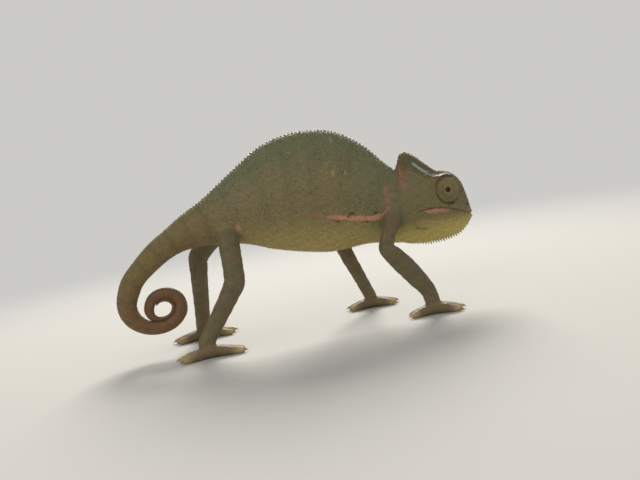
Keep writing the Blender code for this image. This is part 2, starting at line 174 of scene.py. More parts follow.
@dataclass
class Surface:
    """Points in millimetres and faces of a mesh, with what its materials read."""

    points: Array
    faces: list[Array]
    tint: Array | None = None
    place: Array | None = None

    def piece(
        self, name: str, material: bpy.types.Material, slot: str, nodes: tuple[str, ...] = ()
    ) -> bpy.types.Object:
        """Puts the surface into an object that rides on the body.

        Args:
            name: Name of the piece.
            material: Its material.
            slot: Not used.
            nodes: Solids that the piece stands for.

        Returns:
            The new object, at the origin.
        """
        mesh = bpy.data.meshes.new(name)
        mesh.vertices.add(len(self.points))
        mesh.vertices.foreach_set("co", (self.points * MM).astype(np.float32).ravel())
        corners = np.concatenate([f.ravel() for f in self.faces])
        totals = np.concatenate([np.full(len(f), f.shape[1]) for f in self.faces])
        mesh.loops.add(len(corners))
        mesh.loops.foreach_set("vertex_index", corners.astype(np.int32))
        mesh.polygons.add(len(totals))
        starts = np.concatenate([[0], np.cumsum(totals)[:-1]])
        mesh.polygons.foreach_set("loop_start", starts.astype(np.int32))
        mesh.polygons.foreach_set("loop_total", totals.astype(np.int32))
        mesh.update(calc_edges=True)
        mesh.shade_smooth()
        if self.tint is not None:
            colour = mesh.color_attributes.new("tint", "FLOAT_COLOR", "POINT")
            colour.data.foreach_set("color", np.column_stack([self.tint, np.ones(len(self.tint))]).ravel())
        if self.place is not None:
            chart = mesh.uv_layers.new(name="OFBake")
            chart.data.foreach_set("uv", self.place[corners].astype(np.float32).ravel())
        mesh.materials.append(material)
        obj = placed(name, mesh)
        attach(obj, "root")
        if nodes:
            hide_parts(*nodes)
        LOG.info("%s: %d points, %d faces", name, len(self.points), len(totals))
        return obj


def grid(count: int, around: int) -> Array:
    """Quads between closed rings of equal length.

    Args:
        count: Number of rings.
        around: Points round a ring.

    Returns:
        Four point numbers for each quad.
    """
    i, j = np.meshgrid(np.arange(count - 1), np.arange(around), indexing="ij")
    k = (j + 1) % around
    corners = [i * around + j, i * around + k, (i + 1) * around + k, (i + 1) * around + j]
    return np.stack(corners, -1).reshape(-1, 4)


def loft(rings: Array) -> Surface:
    """A closed surface over rings of equal length, with a fan over each end.

    Args:
        rings: Places as rings, points round a ring, and x, y, z.

    Returns:
        The surface, its faces outwards where the rings turn left as seen from their end.
    """
    count, around = rings.shape[:2]
    points = np.concatenate([rings.reshape(-1, 3), rings[:1].mean(1), rings[-1:].mean(1)])
    quads = grid(count, around)
    j, k = np.arange(around), (np.arange(around) + 1) % around
    first, last = np.full(around, count * around), np.full(around, count * around + 1)
    caps = np.concatenate([
        np.stack([first, k, j], 1),
        np.stack([last, (count - 1) * around + j, (count - 1) * around + k], 1),
    ])  # fmt: skip
    surface = Surface(points, [quads, caps])
    triangles = points[np.concatenate([quads[:, :3], quads[:, [0, 2, 3]], caps])]
    if np.linalg.det(triangles - points.mean(0)).sum() < 0:
        surface.faces = [f[:, ::-1] for f in surface.faces]
    return surface


def joined(surfaces: list[Surface]) -> Surface:
    """Puts all surfaces into one, with their tints and chart places.

    Args:
        surfaces: Surfaces to join; tints and places are kept where all have them.

    Returns:
        The whole as one surface.
    """
    starts = np.concatenate([[0], np.cumsum([len(s.points) for s in surfaces])])
    moved = [f + start for s, start in zip(surfaces, starts) for f in s.faces]
    widths = sorted({f.shape[1] for f in moved})
    faces = [np.concatenate([f for f in moved if f.shape[1] == width]) for width in widths]
    whole = Surface(np.concatenate([s.points for s in surfaces]), faces)
    if all(s.tint is not None for s in surfaces):
        whole.tint = np.concatenate([s.tint for s in surfaces])
    if all(s.place is not None for s in surfaces):
        whole.place = np.concatenate([s.place for s in surfaces])
    return whole


def tube(rows: Array, places: Array, sides: int, across: Array) -> Array:
    """Elliptic rings square to a smooth path.

    Args:
        rows: Centre x, y, z and two radii at points of the path.
        places: Distances along the path for the rings.
        sides: Points round a ring.
        across: Direction that the second radius is kept close to.

    Returns:
        The rings.
    """
    key = run_length(rows[:, :3])
    ahead, behind = (hermite(key, rows, np.clip(places + d, 0, key[-1])) for d in (0.03, -0.03))
    at = hermite(key, rows, places)
    run = unit((ahead - behind)[:, :3])
    side = unit(across - (run @ across)[:, None] * run)
    front = np.cross(run, side)
    turn = np.arange(sides) * 2 * math.pi / sides
    return (
        at[:, None, :3]
        + at[:, None, 3:4] * np.cos(turn)[None, :, None] * front[:, None, :]
        + at[:, None, 4:5] * np.sin(turn)[None, :, None] * side[:, None, :]
    )


def rounded(rings: Array, start: bool, end: bool) -> Array:
    """Adds a half-round nose at either end: each nose ring shrinks by a cosine as it moves out by a sine.

    Args:
        rings: Rings along a form.
        start: Whether the first ring gets a nose.
        end: Whether the last ring gets a nose.

    Returns:
        All rings in order.
    """
    parts = [rings]
    ends = ((start, rings[0], rings[1], True), (end, rings[-1], rings[-2], False))
    for wanted, ring, inner, before in ends:
        if not wanted:
            continue
        middle = ring.mean(0)
        way = unit(middle - inner.mean(0))
        radius = np.linalg.norm(ring - middle, axis=1).mean()
        turn = np.array([0.3, 0.6, 0.9, 1.15, 1.38])[:, None, None]
        nose = middle + (ring - middle)[None] * np.cos(turn) + way * radius * np.sin(turn)
        parts = [nose[::-1], *parts] if before else [*parts, nose]
    return np.concatenate(parts)


def ellipsoid(centre: Array, half: Array, steps: int = 28) -> Surface:
    """A closed egg: latitude rings of radius cosine at height sine, scaled by the three half-sizes.

    Args:
        centre: Its middle.
        half: Half-sizes along x, y and z.
        steps: Points round a ring, and twice the number of rings.

    Returns:
        The egg's surface.
    """
    rise = np.linspace(-1.5, 1.5, steps // 2)[:, None]
    turn = np.arange(steps)[None, :] * 2 * math.pi / steps
    ball = np.stack([np.cos(turn) * np.cos(rise), np.sin(turn) * np.cos(rise), np.sin(rise) + 0 * turn], 2)
    return loft(ball * half + centre)


@dataclass
class Spine:
    """Neck, trunk and tail as one line of upright sections, from inside the head to the tip of the coil.

    Rows hold x and z of the back, x and z of the belly, and the half-width. Coil rows hold x and z of the
    middle, and the half-height; the half-width there is flatness times that. The four places of eased are
    where the easing starts, is full, starts to fall and ends. Skin behind tail_front belongs to the coil
    where it is nearer to the coil's middle line than tail_reach times the half-height.
    """

    rows: list[tuple[float, float, float, float, float]] = field(default_factory=lambda: [
        (20.60, 20.30, 20.40, 11.80, 2.60),
        (19.30, 21.20, 19.10, 11.30, 2.95),
        (17.90, 22.50, 17.60, 10.90, 3.20),
        (16.00, 24.50, 15.50, 11.20, 3.35),
        (14.20, 26.60, 13.70, 11.60, 3.60),
        (12.30, 28.30, 11.60, 11.80, 3.85),
        (9.40, 30.10, 9.00, 11.65, 4.10),
        (6.30, 30.90, 6.00, 11.60, 4.20),
        (2.10, 31.05, 2.90, 12.10, 4.20),
        (-2.40, 30.00, -0.40, 12.90, 4.05),
        (-6.00, 27.95, -3.90, 13.95, 3.80),
        (-9.60, 25.60, -7.30, 15.30, 3.30),
        (-13.30, 23.20, -10.90, 15.90, 2.70),
        (-17.00, 21.40, -14.20, 16.20, 2.20),
        (-19.50, 19.80, -17.40, 16.00, 1.80),
        (-22.20, 18.30, -20.00, 15.00, 1.62),
        (-24.40, 16.60, -22.00, 13.80, 1.50),
        (-26.60, 14.60, -23.90, 12.50, 1.42),
        (-28.00, 13.20, -24.90, 11.60, 1.40),
    ])  # fmt: skip
    coil: list[tuple[float, float, float]] = field(default_factory=lambda: [
        (-27.10, 10.99, 1.66), (-27.75, 9.55, 1.60), (-27.80, 8.09, 1.52), (-27.16, 6.54, 1.37),
        (-25.86, 5.33, 1.20), (-24.06, 4.66, 1.06), (-22.11, 4.73, 0.99), (-20.41, 5.57, 0.97),
        (-19.39, 7.05, 0.95), (-19.52, 8.60, 0.93), (-20.66, 9.70, 0.91), (-22.15, 9.94, 0.87),
        (-23.50, 9.41, 0.86), (-24.30, 8.36, 0.83), (-24.50, 7.22, 0.75), (-24.10, 6.36, 0.58),
        (-23.24, 5.98, 0.44), (-22.25, 5.93, 0.37), (-21.36, 6.26, 0.35), (-20.69, 7.02, 0.35),
        (-20.60, 7.97, 0.35), (-21.28, 8.72, 0.34), (-22.15, 8.87, 0.31), (-22.85, 8.64, 0.26),
        (-23.16, 8.30, 0.18),
    ])  # fmt: skip
    nape_row: int = 2
    samples: int = 400
    ease_rounds: int = 45
    eased: tuple[float, float, float, float] = (20.0, 28.0, 46.0, 54.0)
    unroll: float = 0.30
    unroll_from: float = 50.0
    unroll_softly: float = 3.0
    tail_front: float = -17.5
    tail_reach: float = 1.7
    flatness: float = 0.86
    keel: float = 0.34
    ring_count: int = 440
    around: int = 72
    key: Array = field(init=False)
    table: Array = field(init=False)

    def __post_init__(self) -> None:
        """Works out centre, half-height vector and half-width, with places counted from the nape.

        Trunk rows and coil rows meet in the tail's bend, so there each fine row is eased towards the mean of
        the rows beside it.
        """
        trunk, coil = np.array(self.rows), np.array(self.coil)
        path = np.concatenate([(trunk[:, :2] + trunk[:, 2:4]) / 2, coil[:, :2]])
        run = unit(np.gradient(path, axis=0))
        out = np.stack([run[:, 1], -run[:, 0]], 1)[len(trunk) :] * coil[:, 2:]
        half = np.concatenate([(trunk[:, :2] - trunk[:, 2:4]) / 2, out])
        width = np.concatenate([trunk[:, 4], coil[:, 2] * self.flatness])
        length = run_length(path)
        key = length - length[self.nape_row]
        self.key = np.linspace(key[0], key[-1], self.samples)
        self.table = hermite(key, np.column_stack([path, half, width]), self.key)
        rise, full, fall, end = self.eased
        share = (0.5 * ramp(self.key, rise, full) * ramp(self.key, end, fall))[1:-1, None]
        for _ in range(self.ease_rounds):
            self.table[1:-1] += share * ((self.table[:-2] + self.table[2:]) / 2 - self.table[1:-1])

    def rings(self, places: Array, around: int) -> Array:
        """Sections by half-height times sine and half-width times cosine, drawn in to a keel at the back.

        Args:
            places: Distances from the nape.
            around: Points round a section.

        Returns:
            One ring for each place.
        """
        rows = hermite(self.key, self.table, places)
        turn = np.arange(around) * 2 * math.pi / around
        sine, cosine = np.sin(turn), np.cos(turn)
        height = np.linalg.norm(rows[:, 2:4], axis=1)[:, None]
        keel = self.keel * np.clip((height - 1.5) / 3.0, 0, 1)
        across = rows[:, 4:] * cosine * (1 - keel * np.clip(sine, 0, 1) ** 1.5)
        return np.stack([rows[:, :1] + rows[:, 2:3] * sine, across, rows[:, 1:2] + rows[:, 3:4] * sine], 2)

    def aside(self, places: Array) -> Array:
        """How far the coil is drawn aside, to keep its turns apart in the weld: a soft start, then even."""
        past = np.maximum(places - self.unroll_from, 0)
        return self.unroll * past**2 / (past + self.unroll_softly)

    def body(self) -> Surface:
        """The closed surface from the head's inside to the tail's tip, with the coil drawn aside."""
        places = np.linspace(self.key[0], self.key[-1], self.ring_count)
        rings = self.rings(places, self.around)
        rings[:, :, 1] += self.aside(places)[:, None]
        return loft(rounded(rings, False, True))

    def wound(self, points: Array) -> Array:
        """Puts the coil back in its plane, each point as far as its nearest section was drawn aside.

        Args:
            points: Points of the welded skin.

        Returns:
            The points with the tail wound up flat.
        """
        places = np.linspace(self.unroll_from - 2.0, self.key[-1], 500)
        rows = hermite(self.key, self.table, places)
        line = np.column_stack([rows[:, 0], self.aside(places), rows[:, 1]])
        size = np.linalg.norm(rows[:, 2:4], axis=1)
        some = np.flatnonzero(points[:, 0] < self.tail_front)
        apart = np.linalg.norm(points[some, None] - line[None], axis=2) / size
        best = apart.argmin(1)
        tail = apart[np.arange(len(some)), best] < self.tail_reach
        points = points.copy()
        points[some[tail], 1] -= self.aside(places[best[tail]])
        return points

    def edge(self, places: Array, side: int) -> tuple[Array, Array, Array]:
        """The line of the back or the belly.

        Args:
            places: Distances from the nape.
            side: 1 for the back, -1 for the belly.

        Returns:
            Points on it, the way out and the way along, all with x, y, z.
        """
        rows = hermite(self.key, self.table, places)
        at = rows[:, :2] + side * rows[:, 2:4]
        run = unit(np.gradient(at, axis=0))
        out = side * np.stack([run[:, 1], -run[:, 0]], 1)
        return tuple(np.insert(v, 1, 0.0, axis=1) for v in (at, out, run))


@dataclass
class Head:
    """Casque, snout, jaw and eye turrets as upright sections along x.

    Rows hold x, the top, then half-width and height of crest, temple, lip and jaw, then the underside.
    """

    rows: list[tuple[float, ...]] = field(default_factory=lambda: [
        (15.40, 20.00, 0.70, 19.20, 2.20, 17.60, 2.60, 15.20, 1.90, 13.00, 11.60),
        (16.60, 20.90, 0.80, 19.90, 2.62, 18.00, 2.95, 15.30, 2.25, 12.80, 11.10),
        (17.50, 21.80, 0.80, 20.60, 2.80, 18.30, 3.16, 15.35, 2.52, 12.70, 10.80),
        (18.20, 22.90, 0.85, 21.60, 2.90, 18.40, 3.30, 15.40, 2.75, 12.60, 10.55),
        (19.00, 24.60, 1.25, 22.60, 3.00, 18.60, 3.45, 15.40, 2.85, 12.50, 10.40),
        (19.80, 25.10, 1.75, 22.55, 3.10, 18.80, 3.52, 15.40, 2.90, 12.40, 10.32),
        (21.30, 24.25, 2.35, 21.55, 3.15, 18.60, 3.55, 15.30, 2.90, 12.20, 10.22),
        (22.80, 22.80, 2.60, 20.60, 3.10, 18.20, 3.42, 15.20, 2.80, 12.10, 10.22),
        (24.30, 21.40, 2.60, 20.25, 2.85, 18.00, 3.12, 15.10, 2.60, 12.10, 10.32),
        (25.80, 20.95, 2.30, 20.35, 2.20, 18.00, 2.75, 14.80, 2.30, 12.20, 10.60),
        (27.20, 20.20, 1.75, 19.60, 1.50, 17.60, 2.30, 14.35, 1.90, 12.40, 11.10),
        (28.20, 18.60, 1.20, 18.05, 1.15, 16.60, 1.70, 14.00, 1.45, 12.70, 11.95),
        (28.85, 15.60, 0.72, 15.35, 0.76, 14.90, 0.95, 13.75, 0.78, 13.00, 12.70),
        (29.15, 13.90, 0.26, 13.82, 0.31, 13.66, 0.36, 13.50, 0.27, 13.32, 13.15),
    ])  # fmt: skip
    hollow: tuple[float, float] = (0.40, 0.66)
    mouth: list[tuple[float, float]] = field(default_factory=lambda: [
        (19.79, 15.50), (20.97, 15.58), (22.43, 15.62), (23.61, 15.48), (25.02, 15.15), (26.24, 14.74),
        (27.48, 14.22), (28.40, 13.80), (29.30, 13.42),
    ])  # fmt: skip
    nostril: tuple[float, float, float] = (28.30, 1.25, 15.15)
    eye: tuple[float, float, float] = (25.60, 2.25, 18.00)
    look: tuple[float, float, float] = (-0.26, 1.0, 0.12)
    turret: list[tuple[float, float]] = field(default_factory=lambda: [
        (-1.20, 0.95), (-0.75, 1.70), (-0.10, 2.06), (0.35, 1.98), (0.80, 1.62), (1.16, 1.14), (1.40, 0.84),
        (1.52, 0.66), (1.50, 0.52), (1.22, 0.47), (1.00, 0.36), (0.95, 0.18),
    ])  # fmt: skip
    narrow: float = 0.86
    ring_pitch: float = 0.46
    nape: float = 18.2
    smallest_crest: float = 0.2

    def skull(self) -> Surface:
        """The head's loft: seven anchors on each side of a section, smoothed round it and along the head."""
        table = np.array(self.rows)
        places = np.concatenate([np.linspace(table[0, 0], 28.2, 100), np.linspace(28.3, 29.15, 9)])
        rows = hermite(table[:, 0], table, places)
        top, zero = rows[:, 1], np.zeros(len(places))
        side = [
            (zero, top),
            (rows[:, 2] * self.hollow[0], top + (rows[:, 3] - top) * self.hollow[1]),
            *((rows[:, i], rows[:, i + 1]) for i in (2, 4, 6, 8)),
            (zero, rows[:, 10]),
        ]
        anchors = np.array([np.stack(p, 1) for p in side + [(-y, z) for y, z in side[-2:0:-1]]])
        closed = np.concatenate([anchors[-2:], anchors, anchors[:3]])
        at = 2 + np.arange(0, len(anchors), 1 / 8)
        fine = hermite(np.arange(len(closed), dtype=float), closed.reshape(len(closed), -1), at)
        fine = fine.reshape(len(at), len(places), 2)
        x = np.repeat(places[None, :, None], len(fine), 0)
        return loft(np.transpose(np.concatenate([x, fine], 2), (1, 0, 2)))

    def over_crest(self, points: Array) -> Array:
        """How high points are on the casque's crest.

        Args:
            points: Places in millimetres.

        Returns:
            0 at the crest's foot and 1 at its top, and past them under and over it.
        """
        table = np.array(self.rows)
        rows = hermite(table[:, 0], table, np.clip(points[:, 0], self.nape, table[-1, 0]))
        return (points[:, 2] - rows[:, 3]) / np.maximum(rows[:, 1] - rows[:, 3], self.smallest_crest)

    def from_nostril(self, points: Array) -> Array:
        """Distance of points from the nearer nostril."""
        folded = np.column_stack([points[:, 0], np.abs(points[:, 1]), points[:, 2]])
        return np.linalg.norm(folded - self.nostril, axis=1)

    def axis(self, side: Side) -> tuple[Array, Array]:
        """Centre of an eye and the way it looks."""
        flip = np.array((1, side.value, 1))
        return np.array(self.eye) * flip, unit(np.array(self.look) * flip)

    def turn_about(self, side: Side, profile: Array, steps: int, narrow: float = 1.0) -> Surface:
        """Turns a profile round an eye's axis, by cosine and sine times the radius.

        Args:
            side: Which eye.
            profile: Rows of distance out along the axis and radius.
            steps: Points round a ring.
            narrow: Size from front to back over size from top to bottom.

        Returns:
            The closed surface.
        """
        centre, look = self.axis(side)
        u = unit(np.cross(look, (0, 0, 1)))
        v = np.cross(look, u)
        turn = np.arange(steps) * 2 * math.pi / steps
        ring = narrow * np.outer(np.cos(turn), u) + np.outer(np.sin(turn), v)
        return loft(centre + look * profile[:, :1, None] + ring[None] * profile[:, 1:, None])

    def turrets(self) -> list[Surface]:
        """Both eye turrets, with the lids' opening sunk in."""
        profile = np.array(self.turret)
        key = run_length(profile)
        fine = hermite(key, profile, np.linspace(0, key[-1], 60))
        return [self.turn_about(side, fine, 56, self.narrow) for side in Side]


@dataclass
class Leg:
    """One leg: its joints, its radii down to the ankle, and its foot of opposed toes.

    Joints are given for the left side. Palm and pads are half-sizes along x, y and z. The claw is its length
    and its root radius.
    """

    side: Side
    joints: tuple[tuple[float, float, float], ...]
    radii: tuple[tuple[float, ...], tuple[float, ...]]
    toes: tuple[tuple[float, float], ...]
    toe_length: float
    palm: tuple[float, float, float] = (1.35, 1.25, 1.05)
    pad: tuple[float, float, float] = (1.45, 0.98, 0.76)
    toe_radii: tuple[float, ...] = (0.80, 0.78, 0.64, 0.52)
    toe_heights: tuple[float, ...] = (0.95, 0.72, 0.52, 0.42)
    claw: tuple[float, float] = (0.50, 0.23)
    bow: float = 0.0

    def points(self) -> Array:
        """Hip or shoulder, middle joint, ankle and sole, on the leg's own side."""
        return np.array(self.joints) * (1, self.side.value, 1)

    def rows(self) -> Array:
        """Centres and two radii from the root to just inside the foot, with bow added to the lower leg."""
        a, b, c, sole = self.points()
        inner = b + ((a + c) / 2 - b) * 0.05
        way = unit(c - b)
        bow = self.bow * unit(np.array([-way[2], 0.0, way[0]]))
        centres = [a, a + (b - a) * 0.45, a + (b - a) * 0.80, inner, b + (c - b) * 0.2, b + (c - b) * 0.6, c]
        rows = np.column_stack([np.array(centres), *self.radii])
        rows[4:, :3] += np.outer((0.5, 1.0, 0.6), bow)
        rows[4:, 3] += np.array((0.5, 0.8, 0.3)) * self.bow
        wide, deep = rows[-1, 3:]
        foot = [(*(c + way * 0.7), wide, deep), (*(sole + (0, 0, 0.9)), wide * 0.9, deep * 0.9)]
        return np.concatenate([rows, foot])

    def shin(self) -> Surface:
        """The leg's tube through its joints."""
        rows = self.rows()
        rings = tube(rows, np.linspace(0, run_length(rows[:, :3])[-1], 90), 40, np.array((0.0, 1.0, 0.0)))
        return loft(rounded(rings, True, True))

    def toe_rows(self, degrees: float, factor: float) -> tuple[Array, Array]:
        """A toe lying on the floor.

        Args:
            degrees: Its heading, from straight ahead towards the leg's own side.
            factor: Its length over the foot's toe length.

        Returns:
            Centres with two radii, and the way it points.
        """
        heading, sign = math.radians(degrees), self.side.value
        way = np.array([math.cos(heading), sign * math.sin(heading), 0.0])
        sole = self.points()[3]
        start = (sole + (0.0, sign * 0.55 * math.sin(heading), 0.0)) * (1, 1, 0)
        reach = np.array([0.0, 0.42, 0.78, 1.0]) * self.toe_length * factor
        centres = start + reach[:, None] * way + np.array(self.toe_heights)[:, None] * (0, 0, 1)
        return np.column_stack([centres, self.toe_radii, self.toe_radii]), way

    def foot(self) -> list[Surface]:
        """Palm, the two pads that bind the toes together, and the toes."""
        sole = self.points()[3]
        made = [ellipsoid(sole + (0, 0, 0.95), np.array(self.palm))]
        for ahead in (-1, 1):
            made.append(ellipsoid(sole + (ahead * self.toe_length * 0.33, 0, 0.64), np.array(self.pad)))
        for degrees, factor in self.toes:
            rows, way = self.toe_rows(degrees, factor)
            across = np.cross(way, (0, 0, 1.0))
            rings = tube(rows, np.linspace(0, run_length(rows[:, :3])[-1], 24), 20, across)
            made.append(loft(rounded(rings, False, True)))
        return made

    def claws(self) -> list[Surface]:
        """Curved cones out of the toes' tips: the radius falls to a point, and the line sinks by a square."""
        made = []
        length, root = self.claw
        for degrees, factor in self.toes:
            rows, way = self.toe_rows(degrees, factor)
            across = np.cross(way, (0, 0, 1.0))
            t = np.linspace(0, 1, 10)[:, None]
            base = rows[-1, :3] + way * self.toe_radii[-1] * 0.55 + (0, 0, 0.12)
            line = base + way * (0.2 + length) * t + np.array((0, 0, 1.0)) * (0.10 * t - 0.42 * t**2)
            radius = root * (1 - t) ** 0.75 + 0.03
            turn = np.arange(12) * math.pi / 6
            ring = np.outer(np.cos(turn), across) * 0.8 + np.outer(np.sin(turn), (0, 0, 1))
            made.append(loft(line[:, None] + ring[None] * radius[:, :, None]))
        return made


# Radii down the leg along and across the body, the toes' headings and lengths, and the length of the longest.
BUILDS = {
    "hind": (
        ((1.75, 1.60, 1.55, 1.58, 1.45, 1.30, 1.20), (1.60, 1.45, 1.30, 1.28, 1.20, 1.08, 1.06)),
        ((9, 1.0), (-11, 0.92), (163, 0.86), (181, 1.0), (199, 0.90)),
        4.6,
    ),
    "front": (
        ((1.45, 1.25, 1.12, 1.18, 1.18, 1.06, 1.00), (1.30, 1.12, 1.02, 1.05, 1.02, 0.96, 0.94)),
        ((-17, 0.92), (2, 1.0), (21, 0.88), (172, 0.95), (192, 0.90)),
        3.7,
    ),
}
BOWS = {("front", Side.RIGHT): 0.50}
# Legs are numbered as legs() lists them, and those under this number are hind legs.
HINDS = 2


def legs() -> list[Leg]:
    """The four legs in their places, the two hind ones first."""
    joints = {
        ("hind", Side.RIGHT): (
            (-9.93, 1.90, 18.60), (-9.95, 6.30, 10.30), (-15.50, 7.60, 2.75), (-15.30, 8.00, 0.0),
        ),
        ("hind", Side.LEFT): (
            (-10.11, 1.90, 19.10), (-15.85, 5.90, 14.15), (-17.20, 7.40, 2.75), (-17.20, 8.00, 0.0),
        ),
        ("front", Side.RIGHT): (
            (16.60, 2.30, 16.60), (13.55, 6.90, 11.30), (18.90, 7.30, 2.75), (19.60, 7.50, 0.0),
        ),
        ("front", Side.LEFT): (
            (14.80, 2.20, 15.40), (7.90, 5.60, 11.80), (11.10, 7.00, 2.75), (11.50, 7.40, 0.0),
        ),
    }  # fmt: skip
    return [
        Leg(side, places, *BUILDS[kind], bow=BOWS.get((kind, side), 0.0))
        for (kind, side), places in joints.items()
    ]


@dataclass
class Bones:
    """Lines down the middle of the trunk and legs, to tell where on the animal a point is."""

    spine: Spine
    limbs: list[Leg]
    chunk: int = 20000

    def along_spine(self, points: Array) -> tuple[Array, Array, Array]:
        """Nearest place on the spine for each point.

        Args:
            points: Places in millimetres.

        Returns:
            Distance from the nape, height from -1 at the belly to 1 at the back, and turn round the spine.
        """
        places = np.linspace(0.0, self.spine.key[-1], 300)
        rows = hermite(self.spine.key, self.spine.table, places)
        size = np.maximum(np.linalg.norm(rows[:, 2:4], axis=1), 1e-3)
        best = np.empty(len(points), int)
        for start in range(0, len(points), self.chunk):
            part = points[start : start + self.chunk]
            apart = np.hypot(part[:, None, 0] - rows[None, :, 0], part[:, None, 2] - rows[None, :, 1])
            best[start : start + self.chunk] = (apart / size**0.6).argmin(1)
        near, height = rows[best], size[best]
        off = points[:, [0, 2]] - near[:, :2]
        up = (off * near[:, 2:4]).sum(1) / height**2
        return places[best], np.clip(up, -1.2, 1.2), np.arctan2(up, points[:, 1] / near[:, 4])

    def on_limbs(self, points: Array) -> tuple[Array, Array, Array]:
        """Which leg each point is on.

        Args:
            points: Places in millimetres.

        Returns:
            How much a point belongs to a leg, how far down it is from 0 to 1, and the leg's number.
        """
        weight, down, which = np.zeros(len(points)), np.zeros(len(points)), np.zeros(len(points), int)
        for number, leg in enumerate(self.limbs):
            rows = leg.rows()
            key = run_length(rows[:, :3])
            places = np.linspace(key[-1] * 0.14, key[-1], 70)
            line = hermite(key, rows, places)
            apart = np.linalg.norm(points[:, None] - line[None, :, :3], axis=2)
            part = (apart / line[None, :, 3]).argmin(1)
            close = apart[np.arange(len(points)), part] / line[part, 3]
            foot = (points[:, 2] < 2.6) & (apart[:, -1] < 7.5)
            here = np.where(foot, 1.0, ramp(close, 1.75, 1.15))
            better = here > weight
            weight = np.where(better, here, weight)
            down = np.where(better, places[part] / key[-1], down)
            which = np.where(better, number, which)
        return weight, down, which


